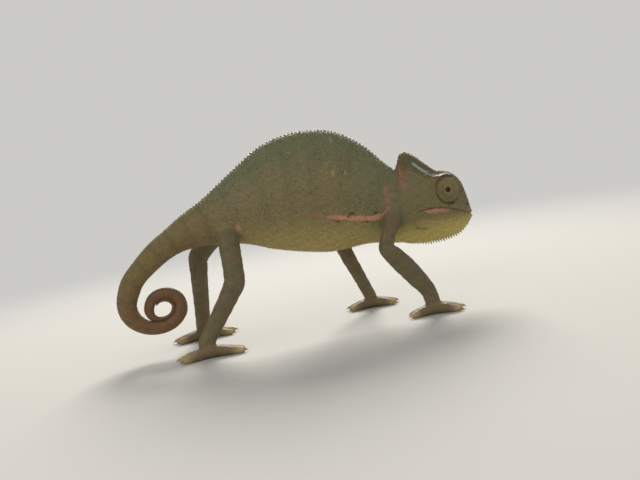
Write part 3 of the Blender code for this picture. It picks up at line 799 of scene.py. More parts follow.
@dataclass
class Markings:
    """The animal's colours and patterns by formula, shared by skin, scales and crests.

    Lines hold x and z of their corners, spots hold x, z and radius, and flecks hold x, z and half-height.
    """

    bones: Bones
    head: Head
    back: str = "#666c4b"
    flank: str = "#83764e"
    belly: str = "#b29d5c"
    dark_band: str = "#4f5537"
    tail: str = "#80693d"
    coil: str = "#765030"
    leg: str = "#6f6142"
    foot: str = "#786546"
    toe: str = "#bda677"
    head_side: str = "#806e44"
    casque: str = "#5a5235"
    # Painted reflection: a pale grey-blue streak of sky reflection laid into the casque's colour.
    painted_reflection: str = "#a3bfba"
    # Pale colour painted as a rim highlight along the top of the casque's crest.
    painted_rim_highlight: str = "#a8935a"
    throat: str = "#bfad5e"
    lip: str = "#c08468"
    brow: str = "#6a4030"
    turret: str = "#7a6f3e"
    # Dark of the turret's scale rings, also used as painted shade in the groove round the turret.
    turret_rings_and_groove_shade: str = "#3c3a20"
    lid: str = "#84665a"
    pink: str = "#cd9678"
    red: str = "#935a48"
    spot: str = "#232a1a"
    pale: str = "#b3a878"
    stripe: list[tuple[float, float]] = field(default_factory=lambda: [
        (3.60, 18.45), (4.17, 18.19), (5.48, 17.55), (6.68, 17.17), (8.51, 16.75), (10.03, 16.39),
        (11.57, 16.10), (13.12, 15.86), (14.39, 15.95), (15.20, 16.50), (15.60, 17.60), (15.62, 18.93),
        (15.70, 20.03),
    ])  # fmt: skip
    spots: list[tuple[float, float, float]] = field(default_factory=lambda: [
        (9.55, 17.25, 0.34), (9.95, 17.15, 0.24), (9.10, 16.85, 0.24), (7.34, 16.43, 0.32),
        (13.41, 16.60, 0.26), (11.91, 15.40, 0.22), (8.31, 17.42, 0.20), (6.70, 16.62, 0.18),
        (14.30, 15.30, 0.18), (5.20, 18.30, 0.16),
    ])  # fmt: skip
    # Line of the painted reflection streak on the casque's side.
    painted_reflection_line: list[tuple[float, float]] = field(default_factory=lambda: [
        (20.54, 23.45), (21.09, 22.85), (21.63, 22.25), (22.19, 21.75), (22.77, 21.33), (23.54, 21.08),
    ])  # fmt: skip
    throat_line: list[tuple[float, float]] = field(default_factory=lambda: [
        (19.49, 14.18), (22.14, 13.61), (24.81, 13.19),
    ])  # fmt: skip
    throat_mark: list[tuple[float, float]] = field(default_factory=lambda: [
        (19.48, 13.05), (20.08, 12.78), (21.03, 12.68),
    ])  # fmt: skip
    flecks: tuple[tuple[float, float, float], ...] = ((8.6, 29.0, 1.1), (7.9, 24.0, 0.9), (9.8, 23.6, 0.6))

    def over(self, base: Array, code: str, amount: Array) -> Array:
        """Lays a colour over the base by an amount from 0 to 1."""
        amount = np.clip(amount, 0, 1)[:, None]
        return base * (1 - amount) + linear(code) * amount

    def from_line(self, points: Array, line: list[tuple[float, float]]) -> tuple[Array, Array]:
        """How near points are to a line drawn on the side.

        Args:
            points: Places with x and z.
            line: Corners of the line, which is smoothed through them.

        Returns:
            Distance in x and z from the line, and the fraction along it.
        """
        corners = np.array(line)
        fine = hermite(run_length(corners), corners, np.linspace(0, run_length(corners)[-1], 60))
        apart = np.hypot(points[:, None, 0] - fine[None, :, 0], points[:, None, 1] - fine[None, :, 1])
        best = apart.argmin(1)
        return apart[np.arange(len(points)), best], best / 59

    def eye_polar(self, points: Array) -> tuple[Array, Array]:
        """Where points are as seen from the nearer eye.

        Args:
            points: Places in millimetres.

        Returns:
            Distance out along the eye's look, and from its axis, counted up where the turret is narrower.
        """
        centre, look = self.head.axis(Side.LEFT)
        off = points * (1, 0, 1) + np.abs(points[:, 1:2]) * (0, 1, 0) - centre
        u = unit(np.cross(look, (0, 0, 1)))
        v = np.cross(look, u)
        return off @ look, np.hypot(off @ u / self.head.narrow, off @ v)

    def trunk(self, points: Array, place: Array, up: Array) -> Array:
        """Olive flanks, greener back, yellow belly, faint upright bands, a pink stripe and a brown tail.

        Args:
            points: Places in millimetres.
            place: Their distance from the nape.
            up: Their height from -1 at the belly to 1 at the back.

        Returns:
            Linear colours.
        """
        flat, drift = points[:, [0, 2]], mottle(points, 2.6, 0.4)
        base = np.repeat(linear(self.flank)[None], len(points), 0)
        base = self.over(base, self.back, ramp(up + 0.12 * drift, 0.15, 0.95) * 0.85)
        base = self.over(base, self.back, ramp(points[:, 0], 6.0, 15.0) * 0.55)
        base = self.over(base, self.belly, ramp(-up, 0.20, 0.95) * ramp(points[:, 0], -16.0, -6.0) * 0.8)
        under = ramp(points[:, 2], 14.4, 11.9) * ramp(points[:, 0], 13.5, 16.5)
        base = self.over(base, self.throat, under * 0.8)
        band = np.sin(place * 2 * math.pi / 4.3 + 0.9 * np.sin(place * 0.37) + 0.8 * up + 0.5 * drift)
        base = self.over(base, self.dark_band, ramp(band, 0.0, 1.0) * 0.16 * ramp(up, -0.9, 0.1))
        base = self.over(base, self.tail, ramp(place, 26.0, 36.0) * 0.8)
        base = self.over(base, self.coil, ramp(place, 43.0, 60.0) * 0.8)
        base = self.over(base, self.brow, ramp(place, 58.0, 74.0) * 0.35)
        ring = ramp(np.sin(place * 2 * math.pi / 3.1), 0.3, 1.0)
        base = self.over(base, self.dark_band, ring * ramp(place, 26, 34) * 0.3)
        near = np.abs(points[:, 1]) > 0.8
        apart, along = self.from_line(flat, self.stripe)
        full = ramp(along, 0.10, 0.30) * ramp(along, 0.82, 0.70)
        rising = 1 - (0.30 + 0.35 * drift) * ramp(along, 0.72, 0.84)
        width = 0.24 + 0.20 * full + 0.28 * ramp(along, 0.72, 0.85)
        width = width + 0.07 * np.sin(along * 31.0) + 0.06 * drift
        border = ramp(apart, width * 2.1, width * 0.7) * near
        middle = ramp(apart, width * 1.25, width * 0.5) * near
        base = self.over(base, self.red, border * (0.46 + 0.14 * full) * rising)
        base = self.over(base, self.pink, middle * (0.16 + 0.70 * full))
        for x, z, size in self.spots:
            away = np.hypot(flat[:, 0] - x, (flat[:, 1] - z) * 1.6)
            base = self.over(base, self.spot, ramp(away, size * 1.4, size * 0.6) * near * 0.85)
        for x, z, tall in self.flecks:
            away = np.hypot((flat[:, 0] - x) * 3.2, (flat[:, 1] - z) / tall)
            base = self.over(base, self.pale, ramp(away, 0.75, 0.25) * near * 0.55)
        patch = np.hypot((flat[:, 0] + 8.1) / 0.55, (flat[:, 1] - 17.3) / 1.7)
        return self.over(base, self.pink, ramp(patch, 1.4, 0.4) * near * 0.5)

    def face(self, points: Array) -> Array:
        """Casque with a painted grey-blue reflection in its hollow and a painted rim highlight on its crest,
        ringed turrets with painted shade in the groove round them, red brow, salmon lip and yellow throat,
        and painted shade in the mouth line and nostrils.

        Args:
            points: Places in millimetres.

        Returns:
            Linear colours.
        """
        x, _, z = points.T
        flat, over_crest = points[:, [0, 2]], self.head.over_crest(points)
        base = np.repeat(linear(self.head_side)[None], len(points), 0)
        base = self.over(base, self.back, 0.30 + 0.25 * mottle(points, 1.8, 1.3))
        base = self.over(base, self.casque, ramp(over_crest, -0.25, 0.15) * 0.9)
        # Painted reflection: a grey-blue streak along this line, in place of the gloss's reflection of the
        # sky.
        apart, along = self.from_line(flat, self.painted_reflection_line)
        ends = ramp(along, 0.0, 0.25) * ramp(along, 1.0, 0.75)
        base = self.over(base, self.painted_reflection, ramp(apart, 0.30, 0.06) * ends * 0.8)
        # Painted rim highlight: the top of the casque's crest made paler, as if lit from behind.
        base = self.over(base, self.painted_rim_highlight, ramp(over_crest, 0.80, 0.97) * 0.9)
        behind = ramp(x, 19.8, 18.8) * ramp(z, 18.0, 20.4) * ramp(z, 24.3, 22.6)
        base = self.over(base, self.red, behind * 0.5)
        nape = ramp(np.abs(x - 18.6), 0.5, 0.1) * ramp(z, 18.6, 20.4) * ramp(z, 23.8, 22.4)
        base = self.over(base, self.pink, nape * 0.22)
        base = self.over(base, self.throat, ramp(z, 14.8, 11.8) * 0.9)
        apart, along = self.from_line(flat, self.head.mouth)
        below = z < np.interp(x, *np.array(self.head.mouth).T)
        fat = 0.80 * ramp(along, 0.06, 0.26) * ramp(along, 0.66, 0.36) + 0.04
        lower = ramp(apart, fat * 1.1, fat * 0.6) * below * ramp(along, 0.05, 0.14) * ramp(along, 0.70, 0.55)
        upper = ramp(apart, 0.40, 0.10) * ~below * ramp(along, 0.02, 0.10) * ramp(along, 0.60, 0.45)
        base = self.over(base, self.lip, lower * 0.85)
        base = self.over(base, self.red, upper * 0.6)
        # Painted shade: a thin dark line along the mouth's crease.
        base = self.over(base, self.spot, ramp(apart, 0.14, 0.03) * 0.75)
        apart, along = self.from_line(flat, self.throat_line)
        ends = ramp(along, 0.0, 0.2) * ramp(along, 1.0, 0.7)
        base = self.over(base, self.pink, ramp(apart, 0.32, 0.06) * ends * 0.30)
        apart, along = self.from_line(flat, self.throat_mark)
        base = self.over(base, self.spot, ramp(apart, 0.24, 0.06) * 0.55)
        out, ring = self.eye_polar(points)
        front = out > -0.3
        base = self.over(base, self.brow, ramp(ring, 3.0, 2.2) * ramp(z, 18.6, 19.8) * front * 0.8)
        turret = ramp(ring, 2.25, 2.0) * ramp(out, -0.5, 0.1)
        base = self.over(base, self.turret, turret)
        rings = ramp(np.sin(ring * 2 * math.pi / self.head.ring_pitch), 0.2, 1.0)
        base = self.over(base, self.turret_rings_and_groove_shade, turret * rings * 0.45)
        # Painted shade: the groove round the turret's foot darkened, more strongly on its lower side.
        low = 0.55 + 0.45 * ramp(z, 18.6, 16.8)
        base = self.over(base, self.turret_rings_and_groove_shade, ramp(np.abs(ring - 2.14), 0.30, 0.05) * front * low)
        base = self.over(base, self.lid, ramp(ring, 0.82, 0.62) * ramp(out, 0.9, 1.3) * 0.9)
        # Painted shade: each nostril darkened inside its opening.
        return self.over(base, self.spot, ramp(self.head.from_nostril(points), 0.36, 0.18) * 0.9)

    def tint(self, points: Array) -> Array:
        """Colours the skin: trunk or face, with the legs over them, and soft blotches over all.

        Args:
            points: Places in millimetres.

        Returns:
            Linear colours.
        """
        place, up, _ = self.bones.along_spine(points)
        limb, down, _ = self.bones.on_limbs(points)
        base = self.trunk(points, place, up)
        ahead = ramp(points[:, 0], 17.3, 18.9) * (1 - limb)
        base = base * (1 - ahead[:, None]) + self.face(points) * ahead[:, None]
        leg = np.repeat(linear(self.leg)[None], len(points), 0)
        leg = self.over(leg, self.back, ramp(mottle(points, 1.5, 2.2), 0.0, 0.8) * 0.4)
        rings = ramp(np.sin(down * 40.0 + mottle(points, 2.0, 3.0)), 0.3, 1.0)
        leg = self.over(leg, self.dark_band, rings * 0.25)
        leg = self.over(leg, self.foot, ramp(points[:, 2], 4.5, 1.5) * 0.85)
        reach = self.tip_reach(points)
        leg = self.over(leg, self.toe, ramp(reach, 0.55, 0.95) * (points[:, 2] < 2.2) * 0.9)
        base = base * (1 - limb[:, None]) + leg * limb[:, None]
        return np.clip(base * (1 + 0.10 * mottle(points, 0.9, 4.4))[:, None], 0.004, 1)

    def tip_reach(self, points: Array) -> Array:
        """How far out on a foot points are.

        Args:
            points: Places in millimetres.

        Returns:
            Distance from the sole's middle as a share of the longest toe's length, or 0 off the feet.
        """
        reach = np.zeros(len(points))
        for leg in self.bones.limbs:
            sole = leg.points()[3]
            away = np.hypot(points[:, 0] - sole[0], points[:, 1] - sole[1]) / (leg.toe_length + 0.4)
            reach = np.where(away < 1.25, away, reach)
        return reach

    def chart(self, points: Array) -> Array:
        """Unwraps the skin: trunk and tail along the top of the chart, and one strip for each leg under it.

        Args:
            points: Places in millimetres.

        Returns:
            Chart places from 0 to 1.
        """
        place, _, turn = self.bones.along_spine(points)
        limb, down, which = self.bones.on_limbs(points)
        along = np.clip((place + 8.0) / (self.bones.spine.key[-1] + 8.0), 0, 1)
        trunk = np.column_stack([0.02 + 0.96 * along, 0.48 + 0.5 * (turn + math.pi) / (2 * math.pi)])
        spun = np.arctan2(points[:, 1], points[:, 0] + 1e-6 + points[:, 2] * 0.3)
        round_leg = 0.03 + 0.38 * (spun + math.pi) / (2 * math.pi)
        leg = np.column_stack([0.03 + 0.235 * which + 0.20 * down, round_leg])
        return np.where((limb > 0.5)[:, None], leg, trunk)


@dataclass
class Skin:
    """One closed skin over head, trunk, tail and legs, welded by voxels, smoothed and then carved."""

    spine: Spine
    head: Head
    limbs: list[Leg]
    markings: Markings
    voxel: float = 0.197

    def welded(self) -> Surface:
        """All lofts made one surface by a voxel remesh, worked in millimetres."""
        lofts = [self.spine.body(), self.head.skull(), *self.head.turrets()]
        for leg in self.limbs:
            lofts += [leg.shin(), *leg.foot()]
        whole = joined(lofts)
        mesh = bpy.data.meshes.new("weld")
        mesh.from_pydata(whole.points, [], [face for group in whole.faces for face in group.tolist()])
        obj = placed("weld", mesh)
        change = obj.modifiers.new("weld", "REMESH")
        change.mode, change.voxel_size, change.adaptivity = "VOXEL", self.voxel, 0.0
        made = obj.evaluated_get(bpy.context.evaluated_depsgraph_get()).to_mesh()
        points = np.empty(len(made.vertices) * 3, np.float32)
        made.vertices.foreach_get("co", points)
        corners = np.empty(len(made.loops), np.int32)
        made.loops.foreach_get("vertex_index", corners)
        bpy.data.objects.remove(obj)
        return Surface(points.reshape(-1, 3).astype(float), [corners.reshape(-1, 4)])

    def smooth(self, points: Array, quads: Array, rounds: int, amount: Array | float) -> Array:
        """Moves each point towards the mean of its neighbours and back again, so that forms keep their size.

        Args:
            points: Points of the skin.
            quads: Its faces.
            rounds: Pairs of a move towards and a move back.
            amount: Share of the move, for all points or for each.

        Returns:
            The points smoothed.
        """
        a = quads.ravel()
        b = np.roll(quads, -1, axis=1).ravel()
        count = np.maximum(np.bincount(a, minlength=len(points)), 1)[:, None]
        weight = np.asarray(amount)[:, None] if np.ndim(amount) else amount
        for number in range(rounds * 2):
            mean = np.stack([np.bincount(a, points[b, k], len(points)) for k in range(3)], 1) / count
            points = points + (mean - points) * weight * (0.55 if number % 2 == 0 else -0.50)
        return points

    def normals(self, points: Array, quads: Array) -> Array:
        """Point normals as the sum of the faces' crossed diagonals.

        Args:
            points: Points of the skin.
            quads: Its faces.

        Returns:
            One direction for each point, at length one.
        """
        face = np.cross(points[quads[:, 2]] - points[quads[:, 0]], points[quads[:, 3]] - points[quads[:, 1]])
        corners = quads.ravel()
        total = np.stack([np.bincount(corners, np.repeat(face[:, k], 4), len(points)) for k in range(3)], 1)
        return unit(total)

    def carve(self, points: Array) -> Array:
        """How far the skin stands out: mouth, lips, nostrils, turret rings, and folds of trunk and limbs.

        Args:
            points: Points of the smoothed skin.

        Returns:
            Millimetres along the normal.
        """
        x, _, z = points.T
        limb, down, _ = self.markings.bones.on_limbs(points)
        place, up, _ = self.markings.bones.along_spine(points)
        on_head = ramp(x, self.head.nape, 18.8) * (limb < 0.3)
        apart, along = self.markings.from_line(points[:, [0, 2]], self.head.mouth)
        out, ring = self.markings.eye_polar(points)
        move = -0.20 * on_head * ramp(apart, 0.26, 0.0) * ramp(along, 0.0, 0.06)
        move += 0.09 * on_head * ramp(np.abs(apart - 0.36), 0.26, 0.0) * (ring > 2.3)
        move -= 0.26 * ramp(self.head.from_nostril(points), 0.34, 0.08) * on_head
        lidded = ramp(out, -0.4, 0.1) * ramp(ring, 0.62, 0.75) * ramp(ring, 2.2, 2.0) * on_head
        move += 0.035 * lidded * np.sin(ring * 2 * math.pi / self.head.ring_pitch)
        move -= 0.12 * on_head * ramp(np.abs(ring - 2.2), 0.22, 0.0) * (out > -0.9)
        wrinkle = 0.05 * np.sin(place * 2 * math.pi / 1.9 + 1.4 * mottle(points, 3.0, 0.9))
        move += wrinkle * ramp(up, 0.9, 0.2) * ramp(up, -0.95, -0.5) * (1 - limb) * (1 - on_head) * 0.6
        folds = np.sin(down * 70.0 + mottle(points, 1.2, 1.7))
        move -= 0.11 * ramp(np.abs(limb - 0.45), 0.40, 0.0) * (z > 4.5)
        return move + 0.02 * folds * limb * ramp(z, 2.0, 3.5)

    def build(self) -> Surface:
        """Welds, smooths, softens the roots of the limbs and the nape, and carves."""
        whole = self.welded()
        points, quads = self.spine.wound(whole.points), whole.faces[0]
        points = self.smooth(points, quads, 3, 1.0)
        limb, _, _ = self.markings.bones.on_limbs(points)
        root = ramp(np.abs(limb - 0.5), 0.5, 0.15) * (points[:, 2] > 4.0)
        nape = ramp(np.abs(points[:, 0] - 18.0), 1.3, 0.3) * (limb < 0.5)
        nape = nape * (points[:, 2] < 22.0) * (points[:, 2] > 11.0)
        points = self.smooth(points, quads, 14, np.clip(np.maximum(root, nape), 0, 1))
        normal = self.normals(points, quads)
        points = points + normal * self.carve(points)[:, None]
        points[:, 2] = np.maximum(points[:, 2], 0.0)
        return Surface(points, [quads], self.markings.tint(points))


@dataclass
class Granules:
    """Scales as low domes spread evenly over the skin.

    Radius and height each hold the least value and how much some scales have over it. In life the scales are
    finer than these, which are about 0.3 mm across so that they show.
    """

    markings: Markings
    spacing: float = 0.215
    seed: int = 7
    sides: int = 6
    radius: tuple[float, float] = (0.128, 0.025)
    height: tuple[float, float] = (0.045, 0.016)
    lip_radius: float = 0.185
    lip_height: float = 0.075
    lip_pitch: float = 0.35
    lip_offset: float = 0.20
    sunk: float = 0.03
    shoulder: tuple[float, float] = (0.66, 0.8)
    # Painted shading of each dome: its foot ring darker and its crown lighter than the scale's colour.
    painted_shading: tuple[float, float, float] = (0.78, 1.0, 1.10)

    def scatter(self, skin: bpy.types.Object, spacing: float) -> tuple[Array, Array]:
        """Evenly spread places on the skin, by Poisson discs.

        Args:
            skin: The skin's object.
            spacing: Least distance between two places, in millimetres.

        Returns:
            The places in millimetres, and the skin's normals there.
        """
        tree = bpy.data.node_groups.new("spread", "GeometryNodeTree")
        tree.interface.new_socket("Geometry", in_out="INPUT", socket_type="NodeSocketGeometry")
        tree.interface.new_socket("Geometry", in_out="OUTPUT", socket_type="NodeSocketGeometry")
        source, sink = tree.nodes.new("NodeGroupInput"), tree.nodes.new("NodeGroupOutput")
        spread = tree.nodes.new("GeometryNodeDistributePointsOnFaces")
        spread.distribute_method = "POISSON"
        spread.inputs["Distance Min"].default_value = spacing * MM
        spread.inputs["Density Max"].default_value = 6.0 / (spacing * MM) ** 2
        spread.inputs["Seed"].default_value = self.seed
        keep = tree.nodes.new("GeometryNodeStoreNamedAttribute")
        keep.data_type, keep.domain = "FLOAT_VECTOR", "POINT"
        keep.inputs["Name"].default_value = "lie"
        solid = tree.nodes.new("GeometryNodePointsToVertices")
        tree.links.new(source.outputs[0], spread.inputs["Mesh"])
        tree.links.new(spread.outputs["Points"], keep.inputs["Geometry"])
        tree.links.new(spread.outputs["Normal"], keep.inputs["Value"])
        tree.links.new(keep.outputs["Geometry"], solid.inputs["Points"])
        tree.links.new(solid.outputs["Mesh"], sink.inputs[0])
        change = skin.modifiers.new("spread", "NODES")
        change.node_group = tree
        made = skin.evaluated_get(bpy.context.evaluated_depsgraph_get()).to_mesh()
        places = np.empty(len(made.vertices) * 3, np.float32)
        made.vertices.foreach_get("co", places)
        lie = np.empty(len(made.vertices) * 3, np.float32)
        made.attributes["lie"].data.foreach_get("vector", lie)
        skin.modifiers.remove(change)
        bpy.data.node_groups.remove(tree)
        return places.reshape(-1, 3).astype(float) / MM, unit(lie.reshape(-1, 3).astype(float))

    def lips(self, skin: bpy.types.Object) -> tuple[Array, Array]:
        """Rows of larger scales over and under the mouth, found by looking in from each side at the skin.

        Args:
            skin: The skin's object.

        Returns:
            The places in millimetres, and the skin's normals there.
        """
        tree = BVHTree.FromObject(skin, bpy.context.evaluated_depsgraph_get())
        corners = np.array(self.markings.head.mouth)
        key = run_length(corners)
        middle = hermite(key, corners, np.arange(0.5, key[-1] - 0.5, self.lip_pitch))
        run = unit(np.gradient(middle, axis=0))
        above = np.stack([-run[:, 1], run[:, 0]], 1)
        rows = [middle + offset * above for offset in (self.lip_offset, -self.lip_offset)]
        places, lie = [], []
        for x, z in np.concatenate(rows):
            for side in Side:
                start = (x * MM, side.value * 10 * MM, z * MM)
                spot, normal, _, _ = tree.ray_cast(start, (0, -side.value, 0))
                if spot is not None:
                    places.append(np.array(spot) / MM)
                    lie.append(np.array(normal))
        return np.array(places), np.array(lie)

    def sizes(self, places: Array) -> tuple[Array, Array]:
        """Sizes scales by the part of the animal they are on.

        Args:
            places: Places of the scales.

        Returns:
            Radius and height of each.
        """
        place, up, _ = self.markings.bones.along_spine(places)
        limb, _, _ = self.markings.bones.on_limbs(places)
        grain = 0.5 + 0.5 * np.sin(places @ np.array([37.1, 51.7, 43.3]))
        radius = self.radius[0] + self.radius[1] * grain
        height = self.height[0] + self.height[1] * grain
        radius *= 1 - 0.12 * ramp(place, 40, 70)
        radius *= 1 - 0.15 * limb * ramp(places[:, 2], 3.5, 1.5)
        height *= 1 - 0.35 * ramp(place, 50, 75)
        big = (grain > 0.975) & (place > 2) & (place < 34) & (limb < 0.3) & (up < 0.8)
        radius, height = np.where(big, radius * 1.45, radius), np.where(big, height * 1.6, height)
        crest = self.markings.head.over_crest(places)
        ridge = (places[:, 0] > 18.3) & (places[:, 0] < 26.5) & ((np.abs(crest) < 0.14) | (crest > 0.9))
        plate = (places[:, 0] > 18.3) & (crest > 0.14) & (crest <= 0.9)
        radius, height = np.where(ridge, radius * 1.3, radius), np.where(ridge, height * 1.7, height)
        radius, height = np.where(plate, radius * 1.18, radius), np.where(plate, height * 0.75, height)
        _, ring = self.markings.eye_polar(places)
        small = (ring < 2.4) & (places[:, 0] > 18.3)
        return np.where(small, radius * 0.84, radius), np.where(small, height * 0.55, height)

    def domes(self, places: Array, lie: Array, radius: Array, height: Array) -> Surface:
        """A dome on each place: a sunk foot ring, a shoulder ring and a crown, closed below.

        Args:
            places: Places on the skin.
            lie: The skin's normals there.
            radius: Radius of each dome.
            height: Height of each dome.

        Returns:
            All domes as one surface, each with a small patch of the chart.
        """
        count, sides = len(places), self.sides
        u = unit(np.cross(lie, (0.31, 0.17, 0.93)))
        v = np.cross(lie, u)
        turn = np.arange(sides) * 2 * math.pi / sides
        spin = (places @ np.array([91.7, 13.9, 57.3]))[:, None] + turn
        ring = np.cos(spin)[:, :, None] * u[:, None] + np.sin(spin)[:, :, None] * v[:, None]
        wide, tall = radius[:, None, None], height[:, None, None]
        share, rise = self.shoulder
        foot = places[:, None] + ring * wide - lie[:, None] * self.sunk
        shoulder = places[:, None] + ring * wide * share + lie[:, None] * tall * rise
        crown = (places + lie * height[:, None])[:, None]
        points = np.concatenate([foot, shoulder, crown], 1)
        each = 2 * sides + 1
        j, k = np.arange(sides), (np.arange(sides) + 1) % sides
        base = (np.arange(count) * each)[:, None, None]
        quads = (base + np.stack([j, k, sides + k, sides + j], 1)).reshape(-1, 4)
        tips = (base + np.stack([sides + j, sides + k, np.full(sides, 2 * sides)], 1)).reshape(-1, 3)
        soles = (base[:, 0] + j[::-1]).reshape(-1, sides)
        surface = Surface(points.reshape(-1, 3), [quads, tips, soles])
        tint = self.markings.tint(places)
        vary = 1 + 0.10 * np.sin(places @ np.array([71.3, 29.9, 87.1]))
        # Painted shading: foot ring darkened and crown lightened, as shade between the scales and light on
        # their tops.
        shade = np.repeat(self.painted_shading, (sides, sides, 1))
        surface.tint = np.clip((tint * vary[:, None])[:, None] * shade[None, :, None], 0, 1).reshape(-1, 3)
        disc = np.stack([np.cos(turn), np.sin(turn)], 1)
        patch = np.concatenate([disc * 0.0015, disc * 0.0008, [[0, 0]]])
        surface.place = (self.markings.chart(places)[:, None] + patch[None]).reshape(-1, 2)
        return surface

    def coats(self, skin: bpy.types.Object) -> dict[str, Surface]:
        """The scales as several pieces, split by region so that none grows too large.

        Args:
            skin: The skin's object.

        Returns:
            Surfaces by the pieces' names.
        """
        places, lie = self.scatter(skin, self.spacing)
        out, ring = self.markings.eye_polar(places)
        apart, _ = self.markings.from_line(places[:, [0, 2]], self.markings.head.mouth)
        on_head = places[:, 0] > 18.4
        bare = (on_head & (ring < 0.72) & (out > 0.5)) | (on_head & (apart < 0.36)) | (places[:, 2] < 0.12)
        places, lie = places[~bare], lie[~bare]
        radius, height = self.sizes(places)
        more, more_lie = self.lips(skin)
        places, lie = np.concatenate([places, more]), np.concatenate([lie, more_lie])
        radius = np.append(radius, np.full(len(more), self.lip_radius))
        height = np.append(height, np.full(len(more), self.lip_height))
        place, _, _ = self.markings.bones.along_spine(places)
        limb, _, which = self.markings.bones.on_limbs(places)
        on_head = (places[:, 0] > self.markings.head.nape) & (limb < 0.5)
        parts = {
            "scales_head": on_head,
            "scales_forelimbs": (limb >= 0.5) & (which >= HINDS),
            "scales_hindlimbs": (limb >= 0.5) & (which < HINDS),
            "scales_tail": (place > 28) & (limb < 0.5) & ~on_head,
            "scales_right": (place <= 28) & (limb < 0.5) & ~on_head & (places[:, 1] < 0),
            "scales_left": (place <= 28) & (limb < 0.5) & ~on_head & (places[:, 1] >= 0),
        }
        return {name: self.domes(places[m], lie[m], radius[m], height[m]) for name, m in parts.items()}


@dataclass
class Crests:
    """Spines along the back, belly and throat. Each row's numbers are its pitch, height and root radius."""

    spine: Spine
    head: Head
    markings: Markings
    back: tuple[float, float, float] = (0.52, 0.20, 0.18)
    belly: tuple[float, float, float] = (0.46, 0.19, 0.14)
    throat: tuple[float, float, float] = (0.42, 0.55, 0.155)
    tip: str = "#9a8a50"

    def row(self, at: Array, out: Array, run: Array, height: Array, width: Array, lean: float) -> Surface:
        """Eight-sided cones in a row, with falling radius and a lean that goes by the square of the height.

        Args:
            at: Roots of the spines.
            out: The way each points.
            run: The way along the row.
            height: Height of each.
            width: Radius of each at its root.
            lean: Lean of the tip over the height.

        Returns:
            All spines as one surface.
        """
        t = np.array([-0.5, 0.0, 0.35, 0.7, 0.92, 1.0])
        shrink = np.array([1.0, 1.0, 0.8, 0.5, 0.22, 0.06])
        turn = np.arange(8) * math.pi / 4
        side = np.cross(out, run)
        rings = (
            at[:, None, None]
            + out[:, None, None] * (height[:, None] * t)[:, :, None, None]
            + run[:, None, None] * (lean * height[:, None] * np.clip(t, 0, 1) ** 2)[:, :, None, None]
            + (
                run[:, None, None] * np.cos(turn)[None, None, :, None] * 1.15
                + side[:, None, None] * np.sin(turn)[None, None, :, None]
            )
            * (width[:, None] * shrink)[:, :, None, None]
        )
        disc = np.tile(np.stack([np.cos(turn), np.sin(turn)], 1), (6, 1)) * np.repeat(shrink, 8)[:, None]
        patch = np.concatenate([disc, [[0, 0], [0, 0]]]) * 0.0015
        surfaces = []
        for number, ring in enumerate(rings):
            surface = loft(ring)
            base = self.markings.tint(at[number : number + 1])
            pale = np.clip(np.repeat(t, 8), 0, 1)[:, None]
            shade = base * (0.85 - 0.35 * pale) + linear(self.tip) * 0.40 * pale
            surface.tint = np.concatenate([shade, base, shade[-1:]])
            flat = self.markings.chart(at[number : number + 1])
            surface.place = flat + patch
            surfaces.append(surface)
        return joined(surfaces)

    def build(self) -> Surface:
        """All three crests: the back's fades out along the tail, the throat's is longest in its middle."""
        pitch, height, width = self.back
        places = np.arange(0.5, 44.0, pitch)
        size = height * (0.55 + 0.45 * ramp(places, 0.0, 5.0)) * (1 - 0.55 * ramp(places, 24.0, 44.0))
        size *= 1 + 0.12 * np.sin(places * 7.0)
        at, out, run = self.spine.edge(places, 1)
        made = [self.row(at, out, run, size, width * size / height * 0.9 + 0.03, 0.35)]
        pitch, height, width = self.belly
        places = np.arange(3.5, 24.0, pitch)
        at, out, run = self.spine.edge(places, -1)
        made.append(self.row(at, out, run, np.full(len(places), height), np.full(len(places), width), 0.2))
        pitch, height, width = self.throat
        x = np.arange(18.9, 28.4, pitch)
        table = np.array(self.head.rows)
        at = np.column_stack([x, 0 * x, hermite(table[:, 0], table, x)[:, 10] + 0.04])
        run = -unit(np.gradient(at, axis=0))
        out = np.column_stack([-run[:, 2], 0 * x, run[:, 0]])
        size = height * (0.35 + 0.65 * ramp(x, 18.9, 22.0)) * (1 - 0.5 * ramp(x, 25.5, 28.4))
        size *= 1 + 0.12 * np.sin(x * 9.0)
        made.append(self.row(at, out, run, size, np.full(len(x), width), -0.25))
        return joined(made)


@dataclass
class Eyeballs:
    """The small wet eyes behind the openings of the lids."""

    head: Head
    radius: float = 0.56
    pupil: float = 0.27
    iris: float = 0.40
    iris_inner: str = "#5a2a1c"
    iris_outer: str = "#3e1c14"
    pupil_tint: str = "#360c07"

    def build(self) -> Surface:
        """A shallow dome: distance out falls with the square of the radius, and the radius sets the tint."""
        r = np.linspace(self.radius, 0.02, 22)
        out = 1.34 - 0.42 * (r / self.radius) ** 2
        profile = np.column_stack([np.concatenate([[0.6], out]), np.concatenate([[self.radius * 0.9], r])])
        rings = 36
        made = []
        for side in Side:
            surface = self.head.turn_about(side, profile, rings)
            radius = np.repeat(profile[:, 1], rings)[:, None]
            in_iris = ramp(radius, self.iris, self.iris * 0.8)
            iris = linear(self.iris_inner) * in_iris + linear(self.iris_outer) * (1 - in_iris)
            in_pupil = ramp(radius, self.pupil * 1.15, self.pupil * 0.85)
            tint = iris * (1 - in_pupil) + linear(self.pupil_tint) * in_pupil
            surface.tint = np.concatenate([tint, tint[:1], tint[-1:]])
            made.append(surface)
        return joined(made)


def add_node(
    tree: bpy.types.NodeTree,
    kind: str,
    values: dict[str, object] | None = None,
    **links: bpy.types.NodeSocket,
) -> bpy.types.Node:
    """Adds a node with its settings and links.

    Args:
        tree: The material's node tree.
        kind: The node's type.
        values: Settings by attribute, or by input name where the key starts with a slash.
        **links: Sockets to join to the input of that name, with underscores for spaces.

    Returns:
        The new node.
    """
    node = tree.nodes.new(kind)
    for key, value in (values or {}).items():
        if key.startswith("/"):
            node.inputs[key[1:]].default_value = value
        else:
            setattr(node, key, value)
    for key, socket in links.items():
        tree.links.new(socket, node.inputs[key.replace("_", " ")])
    return node


